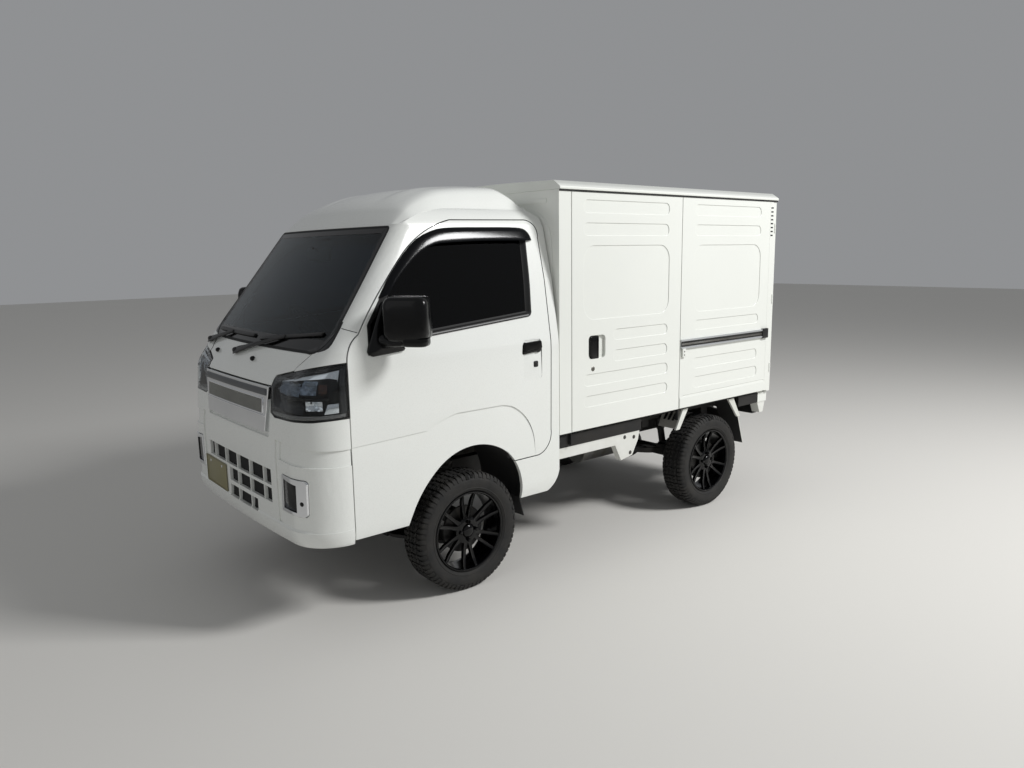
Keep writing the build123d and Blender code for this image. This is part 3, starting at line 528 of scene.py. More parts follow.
def sideX(y, z):
    if cabPoint(2.0, z)[1] <= y:
        return cabPoint(2.0, z)[0]
    return cabPoint(shareAt(z, y=y), z)[0]


# cuts a flat piece into strips across x, y or z, every so many mm, so that it can follow a curved panel
def cutStrips(piece, axis, start, stop, every):
    startEdit(piece)
    count = max(1, math.ceil((stop - start) / every))
    for k in range(1, count):
        value = start + (stop - start) * k / count
        where = place(*[value if i == axis else 0 for i in range(3)])
        normal = [1.0 if i == axis else 0.0 for i in range(3)]
        pickAll()
        bpy.ops.mesh.bisect(plane_co=where, plane_no=normal)
    endEdit()


# an outline of (share, height) laid on the cab, lifted off it by lift mm and made thick mm thick
def onCab(name, pairs, lift, thick, every=0.06, ease=0.0, crossEvery=60.0):
    piece = drawLine(name, [Vector((share, 0, z * mm)) for share, z in pairs])
    startEdit(piece)
    shares, heights = [p[0] for p in pairs], [p[1] for p in pairs]
    for axis, low, high, step in ((0, min(shares), max(shares), every),
                                  (2, min(heights) * mm, max(heights) * mm, crossEvery * mm)):
        count = max(1, math.ceil((high - low) / step))
        for k in range(1, count):
            where, normal = Vector((0, 0, 0)), Vector((0, 0, 0))
            where[axis], normal[axis] = low + (high - low) * k / count, 1.0
            pickAll()
            bpy.ops.mesh.bisect(plane_co=where, plane_no=normal)
    endEdit()
    for point in piece.data.vertices:
        point.co = cabPlace(point.co.x, point.co.z / mm, lift)
    return thicken(piece, thick, (0.5, -1, 0), ease)


# the same from a front view outline (x, z)
def onNose(name, pairs, lift, thick, every=0.08, ease=0.0, crossEvery=60.0):
    return onCab(name, [(shareAt(z, x=x), z) for x, z in pairs], lift, thick, every, ease, crossEvery)


def addWall(piece, thick):
    wall = piece.modifiers.new("wall", "SOLIDIFY")
    wall.thickness = thick * mm
    wall.offset = -1.0
    applyAll(piece)


# faces turned to the outside, then a wall behind them
def thicken(piece, thick, outwards, ease=0.0):
    startEdit(piece)
    bpy.ops.mesh.normals_make_consistent(inside=False)
    mesh = bmesh.from_edit_mesh(piece.data)
    lean = sum((face.normal.dot(Vector(outwards)) * face.calc_area() for face in mesh.faces), 0.0)
    if lean < 0:
        bpy.ops.mesh.flip_normals()
    endEdit()
    addWall(piece, thick)
    if ease:
        easeEdges(piece, ease, 2)
    return piece


# a skin over lines with as many points each, closed or open ones, from one line to the next
def band(name, *lines, closed=True):
    strips = []
    for first, second in zip(lines, lines[1:]):
        pair = [drawLine(name, line + ([line[0]] if closed else []), filled=False)
                for line in (first, second)]
        strip = joinPieces(name, pair)
        startEdit(strip)
        bpy.ops.mesh.select_mode(type="EDGE")
        pickAll()
        bpy.ops.mesh.remove_doubles(threshold=samePoint)
        pickAll()
        bpy.ops.mesh.bridge_edge_loops()
        endEdit()
        strips.append(strip)
    whole = joinPieces(name, strips)
    sortNormals(whole)
    return whole


# fills the open ends of a skin
def closeEnds(piece):
    startEdit(piece)
    bpy.ops.mesh.select_mode(type="EDGE")
    bpy.ops.mesh.select_non_manifold(extend=False)
    bpy.ops.mesh.edge_face_add()
    endEdit()
    sortNormals(piece)
    return piece


# a round bar along a line of points
def tube(name, points, radius, closed=False, sides=3):
    bar = drawLine(name, points + ([points[0]] if closed else []), filled=False)
    startEdit(bar)
    bpy.ops.mesh.remove_doubles(threshold=samePoint)
    endEdit()
    selectOnly(bar)
    bpy.ops.object.convert(target="CURVE")
    bar = bpy.context.object
    bar.data.bevel_depth = radius * mm
    bar.data.bevel_resolution = sides
    bar.data.use_fill_caps = True
    bpy.ops.object.convert(target="MESH")
    bar = bpy.context.object
    sortNormals(bar)
    return bar


# corners, and (point on an arc, end of the arc) pairs, traced to a line of pairs; each arc in the given steps
def traced(start, *steps, count=6):
    found = [start]
    for step in steps:
        if not isinstance(step[0], tuple):
            found.append(step)
            continue
        a, b, c = Vector(found[-1]), Vector(step[0]), Vector(step[1])
        hub = Vector(circleMiddle(a, b, c))
        first, middle, end = (math.atan2(p.y - hub.y, p.x - hub.x) for p in (a, b, c))
        sweep = (end - first) % math.tau
        if (middle - first) % math.tau > sweep:
            sweep -= math.tau
        reach = (a - hub).length
        for k in range(1, count + 1):
            angle = first + sweep * k / count
            found.append((hub.x + reach * math.cos(angle), hub.y + reach * math.sin(angle)))
    return found


# a line of pairs with a point at least every so many mm
def spaced(pairs, every):
    found = []
    for a, b in zip(pairs, pairs[1:]):
        count = max(1, math.ceil(math.dist(a, b) / every))
        found += [between(a, b, k / count) for k in range(count)]
    return found + [pairs[-1]]


def nosePoint(x, z, lift=0.0):
    return cabPlace(shareAt(z, x=x), z, lift)


def sidePoint(y, z, lift=0.0):
    return place(sideX(y, z) + lift, y, z)


# an outline's edge grown by some mm, with points in the same places along it, so that rings can be joined
def edgeRing(edge, point, grow, lift, every=60):
    plain, grown = edge(0), edge(grow)
    found = []
    for a, b, c, d in zip(plain, plain[1:] + plain[:1], grown, grown[1:] + grown[:1]):
        count = max(1, math.ceil(math.dist(a, b) / every))
        found += [point(*between(c, d, k / count), lift) for k in range(count)]
    return found


archCut = 718  # the cab's skin is cut this far out, so that the arch inside can be dark, in mm
floorEnd = 3288  # the box's floor is enamelled behind this
# planes that cut a skin so that part of a face can have its own finish: a point in mm and the normal
cuts = {
    "cab_shell": (((archCut, 0, 0), (1, 0, 0)), ((-archCut, 0, 0), (1, 0, 0))),
    "door_left": (((archCut, 0, 0), (1, 0, 0)),),
    "door_right": (((-archCut, 0, 0), (1, 0, 0)),),
    "box_floor": (((0, floorEnd, 0), (0, 1, 0)),),
}


# a copy of a CAD node in edit mode, merged, and its flat stretches joined
def startCopy(node, name):
    piece = bareCopy(frame["nodes"][node], name)
    startEdit(piece)
    bpy.ops.mesh.remove_doubles(threshold=2 * samePoint)
    bpy.ops.mesh.dissolve_limited(angle_limit=math.radians(0.6))
    return piece


# such a copy with its edges eased, that stands for the node
def easedCopy(node, ease, look, smooth=sharp, segments=2):
    piece = startCopy(node, node + "Skin")
    for spot, normal in cuts.get(node, ()):
        pickAll()
        bpy.ops.mesh.bisect(plane_co=place(*spot), plane_no=normal)
    endEdit()
    easeEdges(piece, ease, segments, smooth)
    finishPiece(piece, look, smooth, (node,), bodyOf(node))
    evened = piece.modifiers.new("even", "WEIGHTED_NORMAL")
    evened.keep_sharp = True
    applyAll(piece)
    piece.select_set(False)
    return piece


# body panels: finish, slot, and how far the edges of each node are eased in mm
panels = (
    ("cabEnamel", "body_paint", {"cab_shell": 2.0, "bumper": 2.0, "hood_panel": 4.0, "door_left": 2.0,
                                 "door_right": 2.0}),
    ("boxEnamel", "box_paint", {"box_frame": 2.0}),
    ("chassisPaint", "box_paint", {"box_floor": 2.0}),
    ("boxEnamel", "box_paint", {"box_roof": 3.0, "box_side_panels": 2.0, "sliding_doors": 2.0,
                                "rear_door_left": 3.0, "rear_door_right": 3.0}),
    ("grainedPlastic", "black_plastic", {"dashboard": 6.0}),
    ("whiteChassis", "white_steel", {"side_rails": 2.0}),
    ("chassisPaint", "chassis_black", {"chassis_rails": 2.0, "crossmembers": 2.0, "frame_brackets": 1.5,
                                       "front_suspension": 3.0, "fuel_tank": 2.0, "rear_axle": 1.5,
                                       "leaf_springs": 1.0}),
    ("rolledSteel", "chassis_black", {"drive_shaft": 1.5}),
    ("rolledSteel", "bare_steel", {"exhaust": 2.0}),
    ("castIron", "cast_metal", {"engine_block": 6.0}),
    ("chassisPaint", "chassis_black", {"knuckle_left": 1.0, "knuckle_right": 1.0}),
    ("grainedPlastic", "black_plastic", {"arch_liners": 0.5, "mudguards": 1.0}),
)
skins = {node: easedCopy(node, ease, look)
         for look, slotName, nodes in panels for node, ease in nodes.items()}
print("panels eased")

# wheels: centre of the front left one, and sizes in mm
wheel = {"x": 642.5, "front": 847, "rear": 2747, "radius": 291, "treadBase": 283, "pitches": 34, "spokes": 6,
         "blockFoot": -1.0, "blockHeight": 8.8, "chamfer": 1.2, "nuts": 4}
wheelCentre = place(wheel["x"], wheel["front"], wheel["radius"])
axleAxis = (1, 0, 0)

# sidewall and tread base from the inner bead to the outer bead: radius, distance outwards from the middle
tyreSection = [(199.6, 66), (201, 70), (207, 75), (212, 76.5), (214, 78.8), (217, 79.4), (219, 78.2),
               (228, 80.6), (238, 82.0), (248, 82.2), (256, 81.2), (262, 79.6), (264, 77.6), (272, 75.4),
               (279, 71.0), (283, 64.0)]
tyreLoop = [(r, -w) for r, w in tyreSection] + [(283.5, 0)] + tyreSection[::-1] + [(199.6, 0)]
carcass = lathe("tyreCarcass", tyreLoop, wheelCentre, axleAxis, 84, closed=True)

# tread blocks of one pitch at the tyre's top: corners as (along the tread, across it)
treadBlocks = (
    # centre rib: interlocked blocks
    ((-24, -13), (-6, -15), (-4, -3), (4, -1), (5, -13), (19, -15), (22, -2), (20, 5), (2, 6), (0, 2),
     (-22, 1)),
    ((-18, 5), (-2, 6), (0, 10), (20, 9), (21, 15), (3, 16), (1, 12), (-19, 14)),
    # inner ribs, half a pitch apart
    ((-23, 20), (-5, 19), (-3, 26), (3, 27), (5, 40), (-12, 42), (-14, 34), (-21, 33)),
    ((1, 19), (19, 20), (21, 33), (27, 34), (25, 41), (9, 42), (7, 28), (2, 27)),
    ((-19, -20), (-1, -20), (-2, -33), (-8, -34), (-9, -42), (-25, -41), (-27, -28), (-20, -27)),
    ((5, -20), (22, -19), (21, -26), (15, -28), (14, -42), (-3, -41), (-4, -36), (4, -34)),
)
# shoulder lugs: start and end along the tread, how far down the sidewall they reach
shoulderLugs = ((-24, -6, 262), (3, 21, 268))


def treadPitch():
    made = []
    top = wheelCentre + Vector((0, 0, wheel["treadBase"] * mm))
    for k, corners in enumerate(treadBlocks):
        points = [top + Vector((w, s, wheel["blockFoot"])) * mm for s, w in corners]
        block = slab(f"tread{k}", points, (0, 0, wheel["blockHeight"] * mm))
        startEdit(block)
        pick(block, "FACE", lambda face: face.normal.z > 0.9)
        bpy.ops.mesh.inset(thickness=wheel["chamfer"] * mm, depth=0.0)
        bpy.ops.transform.translate(value=(0, 0, 0.0002))
        endEdit()
        made.append(block)
    for k, (start, stop, low) in enumerate(shoulderLugs):
        for side in (1, -1):
            lean = 3 * side
            rim = ((46, 280), (46, 290.6), (60, 290.0), (66, 288.0), (72, 283.0), (77.2, 274.0), (80.6, low),
                   (77.0, low - 2), (74, low + 4), (62, 280))
            points = [wheelCentre + Vector((side * w, start + lean, r)) * mm for w, r in rim]
            made.append(slab(f"lug{k}{side}", points, (0, (stop - start) * mm, 0), 0.8, 1))
    return joinPieces("treadPitch", made)


# what is picked, copied in equal steps round the axle
def spinRound(steps):
    bpy.ops.mesh.spin(steps=steps, angle=math.tau, center=wheelCentre, axis=axleAxis, dupli=True)
    endEdit()


tread = treadPitch()
startEdit(tread)
spinRound(wheel["pitches"])
print("tread copied", len(tread.data.polygons))
tyre = joinPieces("tyre", [carcass, tread])

# rim: barrel with rolled lips, radius and distance outwards
barrelSection = [(190, -64), (197, -66), (199.4, -68), (199.2, -60), (192, -54), (188, -30), (186, 10),
                 (190, 44), (196, 56), (199.2, 64), (199.4, 72), (196.5, 75.5), (191, 76), (187.5, 72),
                 (186, 66), (183, 50), (181, 10), (183, -30), (186, -56)]
barrel = lathe("rimBarrel", barrelSection, wheelCentre, axleAxis, 72, closed=True)
# hub disc, stepped cap seat and domed cap
hubSection = [(0, 26), (30, 26), (34, 30), (62, 30), (68, 27), (70, 34), (66, 48), (54, 53), (36, 54),
              (33, 51), (33, 46), (31.5, 46), (31.5, 58), (29, 62), (22, 66), (12, 68.5), (0, 69.2)]
hubPiece = lathe("rimHub", hubSection, wheelCentre, axleAxis, 48)


# one spoke: drawn pointing up in the side view, as radius and distance outwards, then leant about the axle
def rimSpoke(lean):
    spine = ((58, 30), (58, 52), (100, 50), (150, 57), (187, 69), (187, 52), (150, 38), (100, 30))
    width = 16
    points = [wheelCentre + Vector((w, -width / 2, r)) * mm for r, w in spine]
    spoke = slab("spoke", points, (0, width * mm, 0))
    # narrower at the face, wider at its root
    startEdit(spoke)
    pick(spoke, "VERT", lambda v: (v.co - wheelCentre).z < 0.07)
    bpy.ops.transform.resize(value=(1, 1.5, 1), center_override=wheelCentre)
    pick(spoke, "VERT", lambda v: (v.co - wheelCentre).z > 0.18)
    bpy.ops.transform.resize(value=(1, 0.8, 1), center_override=wheelCentre)
    pick(spoke, "FACE", lambda face: face.normal.x > 0.8)
    bpy.ops.mesh.inset(thickness=0.0035, depth=-0.002)
    endEdit()
    easeEdges(spoke, 1.6, 2, 30)
    startEdit(spoke)
    # without a window, rotate turns the other way: hence the minus
    bpy.ops.transform.rotate(value=-lean, orient_axis="X", center_override=wheelCentre)
    endEdit()
    return spoke


pair = joinPieces("spokePair", [rimSpoke(math.radians(11)), rimSpoke(math.radians(-11))])
startEdit(pair)
spinRound(wheel["spokes"])
# four lug nuts on a 100 mm circle, and a valve
nut = addPrimitive("cylinder", "lugNut", wheelCentre + Vector((0.052, 0, 0.046)), (0, math.pi / 2, 0),
                   vertices=6, radius=0.0095, depth=0.026)
startEdit(nut)
pick(nut, "FACE", lambda face: face.normal.x > 0.9)
bpy.ops.mesh.inset(thickness=0.003, depth=0.004)
pickAll()
spinRound(wheel["nuts"])
rimWhole = joinPieces("rim", [barrel, hubPiece, pair, nut])

for end in ("front", "rear"):
    for side in ("left", "right"):
        shift = (0, (wheel[end] - wheel["front"]) * mm, 0)
        flip = side == "right"
        for base, kind, look, slotName in ((tyre, "tyre", "tyreRubber", "tyre"),
                                           (rimWhole, "rim", "alloyBlack", "black_alloy")):
            piece = copyOf(base, f"{kind}Piece_{end}_{side}", shift, flip)
            node = f"{kind}_{end}_{side}"
            finishPiece(piece, look, 32.0, (node,), bodyOf(node))
for base in (tyre, rimWhole):
    bpy.data.objects.remove(base)
print("wheels made")

# nose: the chrome plate between the lamps, with a mesh band and a bare strip; sizes in mm
nosePlate = {"half": 384, "top": 1058, "lowHalf": 349, "bottom": 862, "bandTop": 1009, "bandBottom": 936,
             "bandHalf": 338, "wire": 1.9, "cell": 8.0, "proud": 11}
proud = nosePlate["proud"]
bandHalf, bandLow, bandHigh = nosePlate["bandHalf"], nosePlate["bandBottom"], nosePlate["bandTop"]


def plateHalf(z):
    share = (z - nosePlate["bottom"]) / (nosePlate["top"] - nosePlate["bottom"])
    return nosePlate["lowHalf"] + (nosePlate["half"] - nosePlate["lowHalf"]) * share


easedCopy("grille", 3.0, "chromePlate")


# every point of a piece is set that far off the nose
def bendToNose(piece, lift):
    for point in piece.data.vertices:
        point.co.y = nosePoint(point.co.x / mm, point.co.z / mm, lift).y


# a frame between an outline and the same outline moved inwards, laid on the nose
def noseFrame(name, x0, x1, z0, z1, radius, width, lift, thick, look):
    outer = roundedRect(x0, x1, z0, z1, radius)
    inner = roundedRect(x0 + width, x1 - width, z0 + width, z1 - width, max(radius - width, 1.0))
    ring = band(name, *[[nosePoint(x, z, lift) for x, z in edge] for edge in (outer, inner)])
    cutStrips(ring, 0, x0, x1, 60)
    bendToNose(ring, lift)
    thicken(ring, thick, (0, -1, 0), min(thick, width) * 0.3)
    return finishPiece(ring, look)


noseFrame("bandFrame", -bandHalf, bandHalf, bandLow, bandHigh, 7, 7, proud + 4, 5, "chromePlate")
backEdge = roundedRect(-bandHalf + 5, bandHalf - 5, bandLow + 5, bandHigh - 5, 4)
backing = onNose("bandBacking", backEdge, proud + 0.8, 1.5)
finishPiece(backing, "satinBlack")


# the mesh: a grid of squares, poked to diamonds, turned to wires and laid on the nose
def addMesh():
    wide, high = 2 * (bandHalf - 6), bandHigh - bandLow - 12
    across, up = int(wide / nosePlate["cell"]), int((high + 2) / nosePlate["cell"])
    spot = place(0, 0, (bandHigh + bandLow) / 2)
    wires = addPrimitive("grid", "bandMesh", spot, (math.pi / 2, 0, 0), x_subdivisions=across,
                         y_subdivisions=up, size=1.0)
    startEdit(wires)
    bpy.ops.transform.resize(value=(wide * mm, 1, high * mm), center_override=spot)
    bpy.ops.mesh.poke()

    def isStraight(edge):
        run = edge.verts[0].co - edge.verts[1].co
        return min(abs(run.x), abs(run.z)) < 0.5 * mm and not edge.is_boundary

    pick(wires, "EDGE", isStraight)
    bpy.ops.mesh.dissolve_edges(use_verts=False)
    endEdit()
    bendToNose(wires, proud + 3.0)
    frameWork = wires.modifiers.new("wires", "WIREFRAME")
    frameWork.thickness = nosePlate["wire"] * mm
    frameWork.use_even_offset = False
    applyAll(wires)
    return finishPiece(wires, "meshPaint", 60)


addMesh()
stripHalf = plateHalf(1036) - 8
strip = onNose("plateStrip", roundedRect(-stripHalf, stripHalf, 1021, 1051, 6), proud + 2.6, 3.0, ease=1.2)
finishPiece(strip, "greyMetalPaint")
lip = onNose("plateLip", [(side * plateHalf(z), z) for side, z in ((-1, 934), (1, 934), (1, 926), (-1, 926))],
             proud + 2.2, 2.6, ease=0.8)
finishPiece(lip, "chromePlate")
print("nose plate made")

# painted shade: a dark sheet behind the bumper's openings, where the nose's inside lies in shade
openingShade = slab("bumperOpeningShade", [place(x, 74, z) for x, z in ((-386, 468), (386, 468), (386, 692), (-386, 692))],
            (0, 0.003, 0))
finishPiece(openingShade, "paintedShadeBlack")

# number plate: blank, with a pressed border, on a thin carrier; its colours are darkened with painted shade
numberPlate = {"left": -152, "right": -456, "low": 468, "high": 609}


def plateSpot(x, z, proud):
    return place(x, 3.2 + (numberPlate["left"] - x) * 0.022 - proud, z)


def addNumberPlate():
    x0, x1 = numberPlate["right"], numberPlate["left"]
    z0, z1 = numberPlate["low"], numberPlate["high"]
    edge = roundedRect(x0, x1, z0, z1, 7)
    inner = roundedRect(x0 + 7, x1 - 7, z0 + 7, z1 - 7, 4)
    back = roundedRect(x0 + 10, x1 - 10, z0 + 10, z1 - 10, 5)
    carrier = slab("plateCarrier", [plateSpot(x, z, -2.5) for x, z in back], (0, 0.003, 0))
    finishPiece(carrier, "satinBlack")
    sheet = slab("plateSheet", [plateSpot(x, z, 0) for x, z in edge], (0, 0.0012, 0), 0.4)
    finishPiece(sheet, "plateMetalPaintedShade")
    border = band("plateBorder", *[[plateSpot(x, z, out) for x, z in line]
                                   for line, out in ((edge, 0.2), (edge, 1.6), (inner, 1.6), (inner, 0.2))])
    finishPiece(border, "plateEdgePaintedShade", 40)
    for x in (x0 + 70, x1 - 70):
        bolt = lathe("plateBolt", [(0, 1.6), (2.4, 1.6), (3, 2.3), (6, 2.0), (7, 1.0), (7, -1), (0, -1)],
                     plateSpot(x, z1 - 24, 0), (0, -1, 0), 20, closed=True)
        finishPiece(bolt, "chromePlate")


addNumberPlate()

# fog lamps: the bezel comes from the CAD; in it a dark lens, an upright bar and a small round reflector
fogLamp = {"lens": ((509, 553), (611, 551), (613, 667), (515, 681)),
           "bar": ((615, 549), (622, 549), (624, 679), (617, 679)), "eye": (637, 592),
           "eyeRings": [(0, 3.4), (6, 3.2), (10, 2.0), (11, 0.6), (12.5, 1.6), (13.5, 0.6), (13.5, -1.5),
                        (0, -1.5)]}
easedCopy("fog_lamps", 3.0, "chromePlate", 30, 3)
for side in (1, -1):
    lens = onNose("fogLens", [(side * x, z) for x, z in fogLamp["lens"]], -2.6, 3.0, ease=1.0)
    finishPiece(lens, "glossBlack")
    bar = onNose("fogBar", [(side * x, z) for x, z in fogLamp["bar"]], 6.4, 4.0, ease=1.2)
    finishPiece(bar, "greyMetalPaint")
    x, z = fogLamp["eye"]
    hub = nosePoint(side * x, z, 5.0)
    away = (hub - nosePoint(side * x, z, -5.0)).normalized()
    eye = lathe("fogEye", fogLamp["eyeRings"], hub, away, 28, closed=True)
    finishPiece(eye, "glossBlack", 50)


def clamped(value):
    return max(0.0, min(1.0, value))


# lip along the bumper's foot, standing a little further out round the corners
lipEdge = ((0.45, 402), (2.0, 402), (2.0, 464), (0.45, 464))
for side in (1, -1):
    lip = onCab("bumperLip", [(side * share, z) for share, z in lipEdge], 0.0, 5.0, every=0.04)
    for point in lip.data.vertices:
        x, y, z = abs(point.co.x) / mm, point.co.y / mm + midLength, point.co.z / mm
        swollen = math.sin(math.pi * clamped((z - 398) / 70)) ** 0.35
        away = Vector((side * clamped((x - 480) / 200), -1 + clamped((x - 480) / 257), 0)).normalized()
        point.co += away * (3.2 * clamped((y - 4.0) / 10) * swollen * mm)
    finishPiece(lip, "cabEnamel", 50)
print("plate and fog lamps made")

# headlamps: outline as (share, height) of the left one, the right one mirrored
lampEdge = [(0.73, 1101), (0.90, 1118), (1.05, 1132), (1.30, 1147), (1.60, 1160), (1.96, 1173), (1.985, 1150),
            (1.985, 960), (1.96, 951), (1.50, 944), (1.2, 941), (0.9, 938), (0.745, 936), (0.70, 955),
            (0.715, 1034)]


def onLamps(name, pairs, lift, thick, look, ease=0.6, every=0.08):
    for side, end in ((1, "Left"), (-1, "Right")):
        piece = onCab(name + end, [(side * share, z) for share, z in pairs], lift, thick, every, ease, 40.0)
        finishPiece(piece, look)


# the CAD lamps' front as a clear cover, or the rest of them as a housing
def lampShell(keepFront, name, thick, look):
    piece = startCopy("headlamps", name)

    def isFront(face):
        middle = face.calc_center_median()
        x, y, z = abs(middle.x) / mm, middle.y / mm + midLength, middle.z / mm
        sideStart = cabPoint(2.0, z)[0]
        surface = cabPoint(shareAt(z, x=min(x, sideStart - 0.01)), z)
        return math.dist(surface, (x, y)) < 8 or x > sideStart - 4

    pick(piece, "FACE", lambda face: isFront(face) != keepFront)
    bpy.ops.mesh.delete(type="FACE")
    endEdit()
    addWall(piece, thick)
    return finishPiece(piece, look, 40, ("headlamps",))


lampShell(True, "lampCover", 2.5, "lensClear")
lampShell(False, "lampHousing", 1.5, "satinBlack")
# inside, from the back forwards: dark mask, chrome brow, bezel, rear strip, band and foot
onLamps("lampMask", [(s * 0.985 + 0.012, z * 0.985 + 15.6) for s, z in lampEdge], -30, 2, "lampDark")
onLamps("lampBrow", [(0.80, 1086), (1.10, 1104), (1.45, 1113), (1.70, 1118), (1.84, 1112), (1.85, 1100),
                     (1.86, 1150), (1.60, 1140), (1.30, 1128), (1.00, 1112), (0.80, 1094)], -12, 3,
        "chromePlate", 0.8)
onLamps("lampBezel", [(0.74, 1098), (0.90, 1114), (1.05, 1128), (1.30, 1143), (1.60, 1156), (1.94, 1169),
                      (1.94, 1160), (1.60, 1146), (1.30, 1134), (1.05, 1120), (0.90, 1106), (0.74, 1092)],
        -3.2, 1.2, "glossBlack", 0.3)
onLamps("lampRearStrip", [(1.875, 1160), (1.97, 1166), (1.97, 962), (1.885, 966)], -5, 2, "lampRibbed", 0.5)
onLamps("lampBand", [(0.725, 958), (1.2, 962), (1.6, 966), (1.95, 970), (1.95, 956), (1.5, 948), (1.1, 944),
                     (0.76, 940)],
        -4, 2, "lampBandGrey", 0.5)
onLamps("lampFoot", [(1.70, 1012), (1.86, 1014), (1.86, 974), (1.64, 970)], -9, 3, "chromePlate", 0.8)


# a reflector: a plate with a faceted bowl pressed into it, seen through the cover
def reflector(name, share0, share1, z0, z1, depth, look, bulb, lift=-14):
    midShare, midZ = (share0 + share1) / 2, (z0 + z1) / 2
    edge = roundedRect(share0, share1, z0, z1, 0.0001, 1)
    for side, end in ((1, "Left"), (-1, "Right")):
        piece = onCab(name + end, [(side * s, z) for s, z in edge], lift, 1.5, every=(share1 - share0) / 7,
                      crossEvery=(z1 - z0) / 6)
        hub = cabPlace(side * midShare, midZ, lift)
        inwards = (cabPlace(side * midShare, midZ, lift - 10) - hub).normalized()
        reach = (cabPlace(side * share1, midZ, lift) - cabPlace(side * share0, midZ, lift)).length / 2
        for point in piece.data.vertices:
            flat = point.co - hub
            across = math.hypot(math.hypot(flat.x, flat.y) / reach, flat.z / ((z1 - z0) / 2 * mm))
            point.co += inwards * depth * mm * max(0.0, 1 - across * across)
        finishPiece(piece, look, 12)
        if bulb:
            glass = lathe("bulb", [(0, 0), (5, 0), (6, -6), (6, -14), (4.5, -18), (0, -20)],
                          hub + inwards * depth * mm, inwards, 16)
            finishPiece(glass, "lensClear", 60)


reflector("bowlInner", 0.82, 1.22, 1040, 1092, 13, "reflectorDark", True)
reflector("bowlOuter", 1.25, 1.53, 1050, 1106, 13, "reflectorDark", True)
reflector("bowlLow", 0.80, 1.30, 968, 1018, 12, "reflectorRibbed", False)
reflector("bowlLowOuter", 1.35, 1.62, 984, 1024, 12, "chromePlate", True)
onLamps("amberLens", [(1.56, 1056), (1.69, 1056), (1.69, 1094), (1.56, 1094)], -12, 3, "lensAmber", 1.0)
onLamps("lampDivider", [(0.74, 1034), (1.3, 1036), (1.72, 1040), (1.72, 1030), (1.3, 1026), (0.74, 1024)], -9,
        6, "glossBlack", 0.8)
print("headlamps made")

# washer nozzles on the hood, and two wipers with their blades on the screen
for x, z in ((-388, 1154), (98, 1156)):
    foot = nosePoint(x, z)
    nozzle = lathe("washerNozzle", [(0, -3), (11, -3), (12, 1), (11, 8), (8, 13), (4, 15), (0, 15.5)], foot,
                   nosePoint(x, z, 14) - foot, 24)
    startEdit(nozzle)
    pick(nozzle, "VERT", lambda v: (v.co - foot).length > 6 * mm)
    bpy.ops.transform.translate(value=(0, -0.004, -0.003))
    endEdit()
    finishPiece(nozzle, "glossBlack")

wipers = ({"pivot": (-610, 1189), "from": (-560, 1249), "to": (-20, 1250)},
          {"pivot": (-144, 1171), "from": (60, 1243), "to": (560, 1291)})


def addWiper(number, pivot, bladeFrom, bladeTo):
    start = nosePoint(*pivot)
    up = (nosePoint(*pivot, 10) - start).normalized()
    cap = lathe("wiperCap", [(0, -4), (14, -4), (15, 6), (13, 15), (8, 20), (0, 21)], start, up, 24)
    middle = between(bladeFrom, bladeTo, 0.46)

    # arm: a broad head at the pivot, narrowing to the blade's middle
    stations = ((0.0, 14, 15), (0.10, 20, 15), (0.22, 22, 12), (0.5, 24, 8.5), (0.8, 22, 7), (1.0, 17, 6))

    def along(t, lift, rise):
        x, z = between(pivot, middle, t)
        return nosePoint(x, z + rise, lift)

    arm = drawLine("wiperArm", [along(t, lift, wide) for t, lift, wide in stations]
                   + [along(t, lift, -wide) for t, lift, wide in stations[::-1]])
    thicken(arm, 7, (0, -1, 0.3), 1.6)
    blades = []
    line = [between(bladeFrom, bladeTo, k / 14) for k in range(15)]
    for name, high, lift, thick in (("Rubber", 12.0, 4.0, 3.6), ("Spine", 13.0, 13.0, 9.0)):
        edge = drawLine("wiper" + name, [nosePoint(x, z + high / 2, lift) for x, z in line]
                        + [nosePoint(x, z - high / 2, lift) for x, z in line[::-1]])
        thicken(edge, thick, (0, -1, 0.3), 0.9)
        blades.append(edge)
    whole = joinPieces(f"wiper{number}", [cap, arm] + blades)
    finishPiece(whole, "satinBlack", 30, ("wipers",))


for number, spec in enumerate(wipers):
    addWiper(number, spec["pivot"], spec["from"], spec["to"])
print("wipers made")


# cab sides: the window's edge in the side view, grown by g mm
def windowEdge(g):
    return traced((336 - g, 1240 - g), (342 - g, 1326), (425 - g, 1440 + g),
                  ((566 - g, 1606 + g), (735, 1717 + g)), (1250, 1732 + g),
                  ((1275 + g, 1724 + g), (1284 + g, 1696)), (1253 + g, 1338),
                  ((1247 + 0.7 * g, 1317 - 0.7 * g), (1228, 1310 - g)), (560, 1254 - g))


# rubber round the pane: a low lip on the skin, then down to the glass
seal = band("windowSeal", *[edgeRing(windowEdge, sidePoint, grow, lift) for grow, lift in (
    (5, 0.4), (4, 2.4), (-1, 2.6), (-5, 0.0), (-15, -12.0), (-22, -14.2))])
bothSides(seal, "seal", 50, node="door")
# scraper along the sill line, over the seal
scraper = band("scraper", *[[sidePoint(y, z + rise, lift) for y, z in spaced([(566, 1254), (1236, 1311)], 80)]
                            for rise, lift in ((-5, 1.0), (-4, 4.2), (1, 5.4), (9, 1.6), (14, -6.0),
                                               (14, -12.0))],
               closed=False)
thicken(scraper, 1.6, (1, 0, 0))
bothSides(scraper, "satinBlack", 50, node="door")

